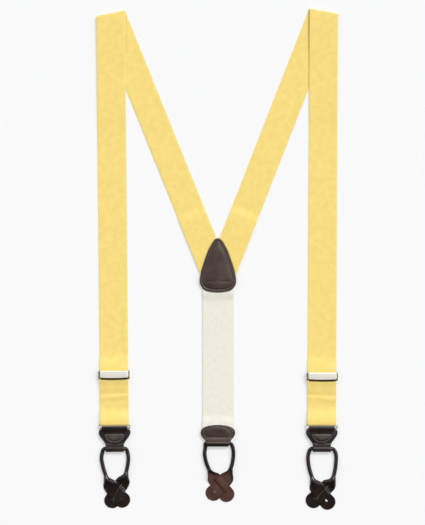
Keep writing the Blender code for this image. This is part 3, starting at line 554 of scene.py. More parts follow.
def ribbon(name, path, half, thickness, finishes, place=None, middle=0.0, turned=1, inner=13, thin=0.45, edge=0.03,
           lift=None, ends_rounded=False, ragged=0.0, start=0.0):
    """A strip on a path of (up, height). half is its half width, a number or a function of up.
    lift(across, up, run) raises it."""
    across = columns(inner, edge, thin)
    run = [start]
    for a, b in zip(path, path[1:]):
        run.append(run[-1] + math.hypot(b[0] - a[0], b[1] - a[1]))
    total = run[-1] - start

    def at(i, k, _):
        before, after = path[max(0, i - 1)], path[min(len(path) - 1, i + 1)]
        along = Vector((0, after[0] - before[0], after[1] - before[1])).normalized()
        out = Vector((0, -along.z, along.y)) * turned
        up, height = path[i]
        wide = half(up) if callable(half) else half
        share, full = across[k]
        u = share * wide
        x = middle + u
        if ragged:
            x += ragged * share * noise.noise(Vector((share * 3.1, run[i] * 160, 1.7)))
        here = Vector((x, up, height))
        if lift:
            here.z += lift(u, up, run[i] - start)
        end = min(run[i] - start, total + start - run[i])
        reach = full * (mix(0.55, 1.0, smooth(0, 0.5 * MM, end)) if ends_rounded else 1)
        outward = out * thickness / 2 * reach
        return here + outward, here - outward, u, run[i], min(wide - abs(u), end if ends_rounded else 1)

    return sheet_solid(name, len(path) - 1, len(across) - 1, at, finishes, place)


def wire(name, lines, radius, finishes, place=None, closed=False, fine=5, taper=False):
    """Round wire or thread along one line or several."""
    curve = bpy.data.curves.new(name, "CURVE")
    curve.dimensions = "3D"
    curve.bevel_depth = radius
    curve.bevel_resolution = fine
    curve.use_fill_caps = True
    for line in lines:
        spline = curve.splines.new("POLY")
        spline.points.add(len(line) - 1)
        for k, (point, here) in enumerate(zip(spline.points, line)):
            point.co = (*here, 1)
            point.radius = (0.55 if k in (0, len(line) - 1) else 1.0) if taper else 1.0
        spline.use_cyclic_u = closed
    made = bpy.data.objects.new(name, curve)
    bpy.context.scene.collection.objects.link(made)
    mesh = bpy.data.meshes.new_from_object(made.evaluated_get(bpy.context.evaluated_depsgraph_get()))
    bpy.data.objects.remove(made)
    mesh.materials.clear()
    return settle(name, mesh, finishes, place, 60)


def stitches(name, line, place=None, length=2.1 * MM, gap=0.75 * MM, closed=False, radius=THREAD * 1.55, lean=0.14):
    """Separate stitches of waxed thread that dip into the leather at their ends."""
    line = [Vector(p) for p in line]
    if closed:
        line = [*line, line[0]]
    step = 0.1 * MM
    dense = evenly(line, step)
    total = len(dense) - 1
    pitch = (length + gap) / step
    count = max(1, round(total / pitch))
    pitch = total / count
    found = []
    for s in range(count):
        first, last = s * pitch + pitch * 0.14, (s + 1) * pitch - pitch * 0.14
        stitch = []
        for k in range(7):
            place_at = mix(first, last, k / 6)
            here = dense[min(total, int(round(place_at)))].copy()
            ahead = (dense[min(total, int(place_at) + 3)] - dense[max(0, int(place_at) - 3)]).normalized()
            side = Vector((-ahead.y, ahead.x, 0))
            here += side * (k / 6 - 0.5) * length * lean
            here.z -= radius * 1.5 * abs(2 * k / 6 - 1) ** 3
            stitch.append(here)
        found.append(stitch)
    return wire(name, found, radius, [DARK_THREAD], place, fine=2, taper=True)


def cut_out(target, outline, low, high, place):
    """Punches a hole through the target. If the exact cut loses the target, the fast one is tried."""
    bm = bmesh.new()
    face = bm.faces.new([bm.verts.new((x, y, low)) for x, y in outline])
    raised = bmesh.ops.extrude_face_region(bm, geom=[face])
    bmesh.ops.translate(bm, verts=[v for v in raised["geom"] if isinstance(v, bmesh.types.BMVert)], vec=(0, 0, high - low))
    bmesh.ops.recalc_face_normals(bm, faces=bm.faces)
    mesh = bpy.data.meshes.new("punch")
    bm.to_mesh(mesh)
    bm.free()
    punch = bpy.data.objects.new("punch", mesh)
    bpy.context.scene.collection.objects.link(punch)
    mesh.transform(place)
    mesh.materials.append(target.data.materials[0])
    change = target.modifiers.new("punch", "BOOLEAN")
    change.object = punch
    change.operation = "DIFFERENCE"
    for solver in ("EXACT", "FAST"):
        change.solver = solver
        made = bpy.data.meshes.new_from_object(target.evaluated_get(bpy.context.evaluated_depsgraph_get()))
        if len(made.vertices) >= 0.9 * len(target.data.vertices):
            target.data = made
            break
    target.modifiers.clear()
    bpy.data.objects.remove(punch)


def stand_for(piece, slot, *nodes):
    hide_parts(*nodes)


# --- webbing --------------------------------------------------------------------------------------------------
def fold_frame(leg):
    """Directions along and away from a shoulder's fold line, and half the angle between its two legs."""
    half = math.radians(leg.back_lean - leg.front_lean) / 2
    halfway = math.radians(leg.back_lean + leg.front_lean) / 2
    down = Vector((math.sin(halfway), -math.cos(halfway), 0))
    across = Vector((-math.cos(halfway), -math.sin(halfway), 0))
    return across, down, half


def fold_offset(leg):
    """How far the folded strap's middle shifts along the fold line."""
    return QUARTER * math.tan(fold_frame(leg)[2])


def leg_origin(leg):
    return Vector((*leg.fold, 0)) + fold_frame(leg)[0] * fold_offset(leg)


def leg_place(leg):
    """A leg's own frame: its origin on the fold line, +Y up the front strap."""
    return Matrix.Translation(leg_origin(leg)) @ Matrix.Rotation(math.radians(leg.front_lean), 4, "Z")


def make_fold(tag, leg):
    """The webbing rolled about the shoulder's fold line."""
    across, down, half = fold_frame(leg)
    centre = Vector((*leg.fold, FOLD_HEIGHT))
    places = columns(17)
    rows = 84

    def at(i, k, _):
        s = mix(-FOLD_PIECE - QUARTER, FOLD_PIECE + QUARTER, i / rows)
        share, full = places[k]
        u = share * WEB_HALF
        turned = u * (1 if half > 0 else -1)
        along = turned * math.cos(half) + s * math.sin(half)
        beyond = s * math.cos(half) - turned * math.sin(half)
        bend = max(-QUARTER, min(QUARTER, beyond)) / FOLD_RADIUS
        reach = abs(beyond) - QUARTER if abs(beyond) > QUARTER else -FOLD_RADIUS * math.cos(bend)
        here = centre + along * across + reach * down + Vector((0, 0, FOLD_RADIUS * math.sin(bend)))
        out = (Vector((0, 0, math.sin(bend))) - down * math.cos(bend)) * WEB / 2 * full
        return here + out, here - out, u, s, 1

    made = sheet_solid(f"webbing_fold_{tag}", rows, len(places) - 1, at, [WEBBING], sharp=70)
    middle = Vector((*leg.fold, 0))
    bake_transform(made)
    stand_for(made, "webbing", f"strap_fold_{tag}")


def front_height(distance):
    """Height of the front strap's middle, sinking from the fold to the table."""
    top = FOLD_HEIGHT + FOLD_RADIUS
    height = mix(top, SECOND_MID, smooth(12 * MM, 70 * MM, distance))
    return mix(height, FLOOR_MID, smooth(105 * MM, 150 * MM, distance))


def make_front(tag, leg):
    """The webbing of the front leg, from the fold to the adjuster's lever."""
    end = leg.adjuster_drop - JOIN_UP - GAP
    climb = 22 * MM
    stops, distance = [FOLD_PIECE], FOLD_PIECE
    while distance < end - 2.5 * MM:
        distance += 2.6 * MM if distance < end - climb else 1.2 * MM
        stops.append(distance)
    stops.append(end)
    path = []
    for d in stops:
        rising = mix(FLOOR_MID, 3.5 * MM, smooth(end - climb, end - 3 * MM, d))
        path.append((-d, front_height(d) if d < end - climb else rising))

    def soft(u, up, run):
        """A strap never lies quite flat: shallow cockles that die out where it is held."""
        held = smooth(0, 60 * MM, run) * smooth(0, 40 * MM, end - FOLD_PIECE - run)
        ripple = noise.noise(Vector((u * 20, run * 11, 3.0 + leg.side)))
        return max(0.0, 0.35 * MM * held * ripple)

    place = leg_place(leg)
    made = ribbon(f"webbing_front_{tag}", path, WEB_HALF, WEB, [WEBBING], place, lift=soft, ragged=0.12 * MM)
    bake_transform(made)
    stand_for(made, "webbing", f"strap_front_{tag}")


def hairpin_path(adjuster, ring):
    """From the lever over the frame's bar, down round the ring, and back up to the bar."""
    near = [
        (3.85, 3.5), (2.0, 3.5), (0.3, 3.7), (-1.0, 4.15), (-2.3, 4.65), (-3.6, 5.0), (-5.6, 5.0), (-8.0, 4.7),
        (-11.0, 4.0), (-14.0, 3.55), (-17.0, 3.25), (-20.0, 2.75), (-23.0, 2.3), (-26.0, 2.35), (-29.0, 2.3),
        (-33.0, 2.1),
    ]
    path = [(adjuster + up * MM, height * MM) for up, height in near]
    top = RING_HEIGHT + TURN_RADIUS
    for k in range(9):
        up = mix(20 * MM, 1.6 * MM, k / 8)
        path.append((ring + up, mix(SECOND_MID, top, smooth(-20 * MM, -3 * MM, -up))))
    path += arc((ring, RING_HEIGHT), TURN_RADIUS, 90, 270, 17)
    low = RING_HEIGHT - TURN_RADIUS
    path += [(ring + 1.6 * MM + 11 * MM * k / 6, mix(low, FLOOR_MID, smooth(0, 1, k / 6))) for k in range(7)]
    up, height, radius = BAR_WRAP
    path += [(mix(ring + 14 * MM, adjuster + up - 1 * MM, k / 8), FLOOR_MID) for k in range(1, 9)]
    path += arc((adjuster + up, height), radius, -80, 90, 13)
    tail = [(-5.6, 3.4), (-7.4, 2.9), (-9.2, 2.4), (-11.0, 2.15), (-13.5, 2.1), (-16.0, 2.1)]
    path += [(adjuster + a * MM, b * MM) for a, b in tail]
    line = curve_through([(0, a, b) for a, b in path], 3)
    return [(p.y, p.z) for p in evenly(line, 0.9 * MM)]


def make_hairpin(tag, leg):
    """The doubled webbing below the adjuster, in one length round the ring and back to the frame's bar."""
    adjuster, ring = -leg.adjuster_drop, -leg.ring_drop
    path = hairpin_path(adjuster, ring)
    length = sum(math.hypot(b[0] - a[0], b[1] - a[1]) for a, b in zip(path, path[1:]))

    def soft(u, up, run):
        """The top layer buckles a little below the adjuster."""
        if run > 62 * MM:
            return 0.0
        band = adjuster - 27 * MM - leg.side * 0.10 * u
        buckle = math.exp(-(((up - band) / (3.0 * MM)) ** 2))
        buckle -= 0.5 * math.exp(-(((up - band - 6 * MM) / (3.2 * MM)) ** 2))
        fade = 0.75 + 0.5 * noise.noise(Vector((u * 60, 2.0 + leg.side, 0)))
        return 0.55 * MM * max(0.0, buckle) * fade

    place = leg_place(leg)
    made = ribbon(f"webbing_doubled_{tag}", path, WEB_HALF, WEB, [WEBBING], place, lift=soft, ragged=0.10 * MM,
                  start=leg.adjuster_drop - JOIN_UP)
    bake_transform(made)
    stand_for(made, "webbing", f"strap_lower_{tag}", f"strap_turn_{tag}", f"strap_return_{tag}")


def make_back_strap(tag, leg):
    """The webbing from the fold to the yoke, cut to meet its fellow on the middle line."""
    across, down, half = fold_frame(leg)
    heading = (down * math.cos(half) - across * math.sin(half)).normalized()
    start = Vector((*leg.fold, 0)) - across * fold_offset(leg)
    side = Vector((-heading.y, heading.x, 0))
    rise = ((YOKE_TOP - start.y) / heading.y) - 26 * MM
    length = (YOKE_BOTTOM - start.y) / heading.y + 10 * MM
    places = columns(13)
    stops, distance = [FOLD_PIECE + GAP], FOLD_PIECE
    while distance < length - 3 * MM:
        distance += 3.0 * MM
        stops.append(distance)
    stops.append(length)

    def at(i, k, _):
        share, full = places[k]
        u = share * WEB_HALF
        d = stops[i]
        height = mix(FLOOR_MID, SECOND_MID, smooth(rise - 12 * MM, rise, d))
        held = smooth(60 * MM, 110 * MM, d) * smooth(0, 30 * MM, rise - 12 * MM - d)
        height += max(0.0, 0.4 * MM * held * noise.noise(Vector((u * 18, d * 9, 8.0 + leg.side))))
        edge = 0.12 * MM * share * noise.noise(Vector((share * 3.1, d * 160, 4.4)))
        here = start + heading * d + side * (u + edge)
        here.z = height
        out = Vector((0, 0, WEB / 2 * full))
        return here + out, here - out, u, d, 1

    made = sheet_solid(f"webbing_back_{tag}", len(stops) - 1, len(places) - 1, at, [WEBBING])
    bm = bmesh.new()
    bm.from_mesh(made.data)
    for point, normal in ((Vector((YOKE_X + leg.side * GAP, 0, 0)), Vector((-leg.side, 0, 0))),
                          (Vector((0, STRAP_END, 0)), Vector((0, -1, 0)))):
        whole = [*bm.verts, *bm.edges, *bm.faces]
        cut = bmesh.ops.bisect_plane(bm, geom=whole, plane_co=point, plane_no=normal, clear_outer=True)
        bmesh.ops.holes_fill(bm, edges=[e for e in cut["geom_cut"] if isinstance(e, bmesh.types.BMEdge)])
    bmesh.ops.recalc_face_normals(bm, faces=bm.faces)
    area = sum(f.calc_area() for f in bm.faces) / 2
    bm.to_mesh(made.data)
    bm.free()
    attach(made, "back")
    stand_for(made, "webbing", f"strap_back_{tag}")


def make_elastic():
    """The elastic from inside the yoke down into the back tab."""
    end = BACK_TUNNEL_Y + 9.5 * MM
    tab_top = BACK_TUNNEL_Y + BACK_TAB_TOP
    path = [(STRAP_END - GAP, SECOND_MID), (STRAP_END - 7 * MM, SECOND_MID)]
    path += [(YOKE_BOTTOM - 12 * MM * k / 10, mix(SECOND_MID, FLOOR_MID, smooth(0, 10, k))) for k in range(11)]
    low, high = YOKE_BOTTOM - 12 * MM, tab_top + 13 * MM
    path += [(mix(low, high, k / 44), FLOOR_MID) for k in range(1, 44)]
    path += [(high - 12 * MM * k / 10, mix(FLOOR_MID, SECOND_MID, smooth(0, 10, k))) for k in range(11)]
    path += [(mix(tab_top, end, k / 5), SECOND_MID) for k in range(1, 6)]
    made = ribbon("elastic_web", path, ELASTIC_HALF, WEB, [ELASTIC], middle=YOKE_X, ragged=0.10 * MM)
    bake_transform(made)
    stand_for(made, "elastic", "elastic")


# --- leather --------------------------------------------------------------------------------------------------
def yoke_outline(count):
    """The pear shape of the yoke, in count points."""
    half = [
        (0, 65.8), (3.9, 64.2), (6.5, 60.8), (9.5, 55.7), (12.0, 50.8), (15.7, 40.6), (19.1, 30.5), (21.5, 20.5),
        (22.3, 14.5), (21.9, 10.5), (20.2, 6.6), (16.2, 3.0), (10.4, 0.9), (0, 0.0),
    ]
    points = [(x * MM, y * MM, 0) for x, y in half]
    ring = [*points, *[(-x, y, 0) for x, y, _ in reversed(points[1:-1])]]
    wrapped = [ring[-1], *ring, ring[0], ring[1]]
    line = evenly(curve_through(wrapped, 12)[12:-12], 0.1 * MM)
    step = (len(line) - 1) / count
    spread_out = [line[int(i * step)] for i in range(count)]
    return [Vector((YOKE_X + p.x, YOKE_BOTTOM + p.y, 0)) for p in reversed(spread_out)]


def inset(outline, distance):
    """The outline, moved inwards."""
    moved = []
    for i, p in enumerate(outline):
        along = (outline[(i + 1) % len(outline)] - outline[i - 1]).normalized()
        moved.append(Vector((p.x - along.y * distance, p.y + along.x * distance, p.z)))
    return moved


def yoke_leather(name, low, raised, finishes):
    """A leather of the yoke's outline. raised(distance from the edge) is how far its top stands over a flat rim."""
    count = 168
    outline = yoke_outline(count)
    steps = [0, 0.12, 0.35, 0.8, 1.3, 1.9, 2.5, 2.9, 3.2, 3.45, 3.7, 4.0, 4.35, 4.8, 5.4, 6.2]
    rings = [inset(outline, d * MM) for d in steps]
    spine = []
    for p in outline:
        y = min(max(p.y, YOKE_BOTTOM + 15 * MM), YOKE_TOP - 12 * MM)
        spine.append(Vector((YOKE_X, y, 0)))
    last = rings[-1]
    for t in (0.15, 0.32, 0.5, 0.7, 0.9):
        rings.append([a.lerp(b, t) for a, b in zip(last, spine)])
    depth = [d * MM for d in steps]
    rounding = [0.55, 0.8, 0.95, 1.0]
    bm = bmesh.new()
    rim = bm.verts.layers.float.new("rim")
    uv = bm.loops.layers.uv.new("UVMap")

    def inside(p):
        return min((p - q).length for q in outline[::3])

    layers = []
    for side in (1, -1):
        made = []
        for r, ring in enumerate(rings):
            row = []
            for p in ring:
                d = depth[r] if r < len(depth) else inside(p)
                full = rounding[r] if r < len(rounding) else 1.0
                v = bm.verts.new((p.x, p.y, low + LEATHER / 2 + raised(d, p) + side * LEATHER / 2 * full))
                v[rim] = d
                row.append(v)
            made.append(row)
        layers.append(made)
    for made in layers:
        for one, two in zip(made, made[1:]):
            for i in range(count):
                j = (i + 1) % count
                bm.faces.new((one[i], one[j], two[j], two[i]))
        bm.faces.new(made[-1])
    for i in range(count):
        j = (i + 1) % count
        bm.faces.new((layers[0][0][i], layers[0][0][j], layers[1][0][j], layers[1][0][i]))
    bmesh.ops.recalc_face_normals(bm, faces=bm.faces)
    for f in bm.faces:
        for corner in f.loops:
            corner[uv].uv = corner.vert.co.xy
    mesh = bpy.data.meshes.new(name)
    bm.to_mesh(mesh)
    bm.free()
    return settle(name, mesh, finishes, None, 55)


def make_yoke():
    rim_low = SECOND_MID + WEB / 2 + GAP

    def puffed(d, p):
        """A rolled rim, the ditch that is sewn through, and a panel that stands up over the felt."""
        roll = 0.55 * MM * math.sin(math.pi * min(1.0, max(0.0, (d - 0.1 * MM) / (2.9 * MM)))) ** 0.8
        ditch = -0.32 * MM * math.exp(-(((d - 3.1 * MM) / (0.42 * MM)) ** 2))
        panel = YOKE_PUFF * smooth(3.2 * MM, 4.6 * MM, d) + 0.60 * MM * smooth(4.0 * MM, 9.5 * MM, d)
        dents = 0.22 * MM * noise.noise(Vector((p.x * 110, p.y * 70, 2.0))) * smooth(4 * MM, 7 * MM, d)
        level = p.y - YOKE_BOTTOM - 13.5 * MM + 0.04 * abs(p.x - YOKE_X)
        crease = -0.30 * MM * math.exp(-((level / (1.0 * MM)) ** 2)) * smooth(4.5 * MM, 7 * MM, d)
        return roll + ditch + panel + dents + crease

    inner = yoke_leather("yoke_leather_inner", rim_low, puffed, [CALF])
    outer = yoke_leather("yoke_leather_outer", 0.0, lambda d, p: 0.0, [CALF])
    top = Vector((0, 0, rim_low + LEATHER - 0.08 * MM))
    line = [p + top for p in inset(yoke_outline(160), YOKE_SEAM)]
    seam = stitches("yoke_stitches", line, closed=True, length=1.5 * MM, gap=0.7 * MM)
    for made, node, slot in ((inner, "yoke_inner", "dark_leather"), (outer, "yoke_outer", "dark_leather"),
                             (seam, "yoke_seam", "thread")):
        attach(made, "back")
        stand_for(made, slot, node)


def tab_path(top, tunnel, rear_mid, front_mid):
    """Rear leaf, tunnel round the loop's cord, front leaf."""
    rear = [(mix(top, tunnel, k / 16), rear_mid) for k in range(16)]
    turn = arc((tunnel, TUNNEL_HEIGHT), TUNNEL_RADIUS, -90, -312, 40)
    crown = turn[-1]
    leave = (tunnel + 6.9 * MM, front_mid)
    fall = [
        (mix(crown[0], leave[0], k / 9), mix(crown[1], leave[1], 1 - (1 - k / 9) ** 1.8)) for k in range(1, 10)
    ]
    count = max(8, round((top - leave[0]) / (0.9 * MM)))
    front = [(mix(leave[0], top, k / count), front_mid) for k in range(1, count + 1)]
    return [*rear, *turn, *fall, *front]


def front_tab_half(up):
    """Half width of a front tab: waisted at its tunnel, with nipped top corners."""
    half = mix(FRONT_NECK, 19.2 * MM, smooth(-21.5 * MM, -5.5 * MM, up))
    corner = 2.5 * MM
    over = min(up - (TAB_TOP - corner), 0.9 * corner)
    return half - (corner - math.sqrt(corner**2 - over**2)) if over > 0 else half


def back_tab_half(up):
    """Half width of the back tab: waisted at its tunnel, with a full rounded top."""
    half = mix(BACK_NECK, 21.0 * MM, smooth(-2.0 * MM, 12.2 * MM, up))
    reach = min(0.99, (up - 13.2 * MM) / (BACK_TAB_TOP + 0.1 * MM - 13.2 * MM))
    return half * (1 - reach**2.3) ** (1 / 2.3) if reach > 0 else half


def half_moon_half(up):
    """Half width of the half moon: wider at the ring, a half ellipse below."""
    if up > MOON_LEVEL:
        return mix(MOON_HALF, 15.6 * MM, smooth(MOON_LEVEL, 0, up))
    return MOON_HALF * math.sqrt(max(0.02, 1 - ((up - MOON_LEVEL) / MOON_DEEP) ** 2))


def half_moon_path():
    """Rear leaf, turn over the ring's wire, front leaf."""
    radius = RING_WIRE + GAP + LEATHER / 2
    ends = [
        -18.5, -18.35, -18.1, -17.6, -17.0, -16.2, -15.3, -14.4, -13.4, -12.4, -11.4, -10.4, -9.5, -8.8, -8.2, -7.7,
        -7.2, -6.5, -5.6, -4.6, -3.5,
    ]
    rear = [(up * MM, RING_HEIGHT - radius) for up in ends]
    turn = arc((0, RING_HEIGHT), radius, -90, 104, 33)
    fall = [(-1.3 * MM, 5.38 * MM), (-2.1 * MM, 5.14 * MM), (-2.9 * MM, 5.0 * MM)]
    return [*rear, *turn, *fall, *[(up * MM, 5.0 * MM) for up in reversed(ends)]]


def make_front_tab(tag, leg):
    """The front tab, the half moon that holds it to the ring, and the half moon's two rows of stitches."""
    bar = -leg.ring_drop - RING_BARS
    tunnel = bar - TAB_DROP
    on_bar = leg_place(leg) @ Matrix.Translation((0, bar, 0))

    def hollow(u, up, run):
        """The front leaf draws in a little on each side of the half moon."""
        if run < 34 * MM:
            return 0.0
        return 0.22 * MM * math.exp(-(((abs(u) - 15.2 * MM) / (2.0 * MM)) ** 2)) * smooth(-19 * MM, -12 * MM, up)

    path = [(up - bar, height) for up, height in tab_path(bar + TAB_TOP, tunnel, FLOOR_MID, 3.5 * MM)]
    tab = ribbon(f"tab_leather_{tag}", path, front_tab_half, LEATHER, [TAB_GRAIN, FLESH], on_bar, inner=21, thin=0.6,
                 edge=0.05, lift=hollow, ends_rounded=True)

    def puff(u, up, run):
        """The front leaf sinks under its stitches and swells between them."""
        if run < 20 * MM or up > -2 * MM:
            return 0.0
        below = min(0.0, up - MOON_LEVEL)
        inside = (1 - math.sqrt((u / MOON_HALF) ** 2 + (below / MOON_DEEP) ** 2)) * 12.7 * MM
        panel = smooth(2.7 * MM, 4.4 * MM, inside) * smooth(MOON_ROW, -8.6 * MM, up)
        dip = math.exp(-(((inside - 2.2 * MM) / (0.6 * MM)) ** 2)) * smooth(-6.6 * MM, -7.4 * MM, up)
        valley = math.exp(-(((up + 4.6 * MM) / (1.5 * MM)) ** 2))
        row = math.exp(-(((up - MOON_ROW) / (0.5 * MM)) ** 2))
        swell = 0.35 + 0.65 * smooth(-7.5 * MM, -15.0 * MM, up)
        return 1.35 * MM * panel * swell - 0.16 * MM * dip - 0.24 * MM * valley - 0.12 * MM * row

    moon = ribbon(f"half_moon_{tag}", half_moon_path(), half_moon_half, LEATHER, [MOON_GRAIN_PAINTED_SHEEN, FLESH, LOOP_GRAIN_AND_PAINTED_SHADE],
                  on_bar, turned=-1, inner=25, thin=0.6, edge=0.05, lift=puff, ends_rounded=True)
    back_to_bar = on_bar.inverted()
    # From the stitch row up over the ring the strap takes the near-black leather: painted shade for the valley below
    # the roll.
    for face in moon.data.polygons:
        if face.material_index == 0 and (back_to_bar @ face.center).y > MOON_ROW + 0.1 * MM:
            face.material_index = 2
    turns = [math.pi * k / 60 for k in range(61)]
    curved = [(11.2 * MM * math.cos(a), MOON_ROW - 9.3 * MM * math.sin(a), 5.76 * MM) for a in turns]
    straight = [(mix(-10.6 * MM, 10.6 * MM, k / 30), MOON_ROW, 5.72 * MM) for k in range(31)]
    arc_row = stitches(f"half_moon_stitches_{tag}", curved, on_bar, **TAB_STITCH)
    top_row = stitches(f"cross_stitches_{tag}", straight, on_bar, **TAB_STITCH)
    for made in (tab, moon, arc_row, top_row):
        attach(made, f"leather_tab_{tag}")
    stand_for(tab, "dark_leather", f"tab_{tag}")
    stand_for(moon, "dark_leather", f"ring_strap_{tag}")
    stand_for(arc_row, "thread", f"tab_seam_{tag}")


def make_back_tab():
    """The back tab over the elastic's end, and the stitches along its rounded top."""

    def dome(u, up, run):
        """A raised lip, the stitched groove inside it, a full middle and a crease above the tunnel."""
        if run < 36 * MM:
            return 0.0
        rise = up - BACK_TUNNEL_Y
        above = max(0.0, rise - 12.6 * MM)
        inside = (1 - math.sqrt((u / (21 * MM)) ** 2 + (above / (9.8 * MM)) ** 2)) * 12 * MM
        body = 0.45 * MM * smooth(2.4 * MM, 5.0 * MM, inside) * smooth(7 * MM, 10.5 * MM, rise)
        lip = 0.30 * MM * math.sin(math.pi * min(1.0, max(0.0, inside / (2.1 * MM)))) * smooth(8 * MM, 12 * MM, rise)
        groove = -0.22 * MM * math.exp(-(((inside - 2.3 * MM) / (0.45 * MM)) ** 2)) * smooth(9 * MM, 12 * MM, rise)
        crease = -0.34 * MM * math.exp(-(((rise - 7.6 * MM - 10 * u * u) / (0.9 * MM)) ** 2))
        return body + lip + groove + crease

    path = tab_path(BACK_TUNNEL_Y + BACK_TAB_TOP, BACK_TUNNEL_Y, FLOOR_MID, 3.6 * MM)
    tab = ribbon("back_tab_leather", path, lambda up: back_tab_half(up - BACK_TUNNEL_Y), LEATHER,
                 [CALF, FLESH, LOOP_GRAIN_AND_PAINTED_SHADE], middle=YOKE_X, inner=25, thin=0.6, edge=0.05, lift=dome, ends_rounded=True)
    # Faces lower than the tunnel's middle line take the near-black leather: painted shade on the tunnel's underside.
    for face in tab.data.polygons:
        if face.material_index == 0 and face.center.y < BACK_TUNNEL_Y + 0.4 * MM:
            face.material_index = 2
    line = []
    for k in range(73):
        a = math.pi * (0.02 + 0.96 * k / 72)
        y = BACK_TUNNEL_Y + 12.6 * MM + 7.9 * MM * max(0.0, math.sin(a)) ** 0.8
        line.append((YOKE_X + 18.2 * MM * math.cos(a), y, 4.36 * MM))
    seam = stitches("back_tab_stitches", line, length=1.6 * MM, gap=0.6 * MM)
    for made, node, slot in ((tab, "back_tab", "dark_leather"), (seam, "back_tab_seam", "thread")):
        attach(made, "end_tab")
        stand_for(made, slot, node)


def arm_and_disc(loop, hand):
    """One arm of a loop, and the disc that it crosses over to. hand is -1 for the left arm, 1 for the right."""
    arm, disc = (loop.left_arm, loop.right_disc) if hand < 0 else (loop.right_arm, loop.left_disc)
    return arm, Vector((*disc, 0)) * MM


def loop_route(loop, hand, neck):
    """Half of a loop's middle line, from the tunnel down to one disc."""
    arm, disc = arm_and_disc(loop, hand)
    wide = arm.wide * MM
    down = [(x * MM, y * MM, 0) for x, y in arm[2:]]
    end = disc + (disc - Vector(down[-1])).normalized() * DISC_RADIUS * 0.995
    return [
        (0, 0, 0), (hand * (neck - 2.4 * MM), 0, 0), (hand * (neck + 2.3 * MM), -0.3 * MM, 0),
        (hand * (wide - 0.9 * MM), -4.9 * MM, 0), (hand * wide, -13.0 * MM, 0), *down, disc, end,
    ]


def beside(line, p):
    """Signed distance from a plan line, plus on its left-hand side, and the step of the line that it is beside."""
    best, found = 1e9, (0.0, 0)
    for i in range(len(line) - 1):
        a, b = line[i], line[i + 1]
        t = min(1.0, max(0.0, (p - a).dot(b - a) / (b - a).length_squared))
        gap = p - a.lerp(b, t)
        if gap.length < best:
            best = gap.length
            turn = (b - a).x * gap.y - (b - a).y * gap.x
            found = (math.copysign(gap.length, turn), i)
    return found


def rolled(left, flat):
    """How far the leather has closed into its roll: 0 while flat, 1 round the cord."""
    return min(1.0, max(0.0, (left - flat + 2 * MM) / (16 * MM))) ** 1.7


def tongue_width(left, flat):
    """Width of the leather, by how far it is from its tip."""
    width = mix(TONGUE_WIDTH, ROLL_WIDTH, rolled(left, flat))
    width = mix(DISC_WIDTH, width, smooth(DISC_RADIUS, 20 * MM, left))
    if left < DISC_RADIUS:
        width = DISC_WIDTH * math.sqrt(max(0.004, 1 - (1 - left / DISC_RADIUS) ** 2))
    return width


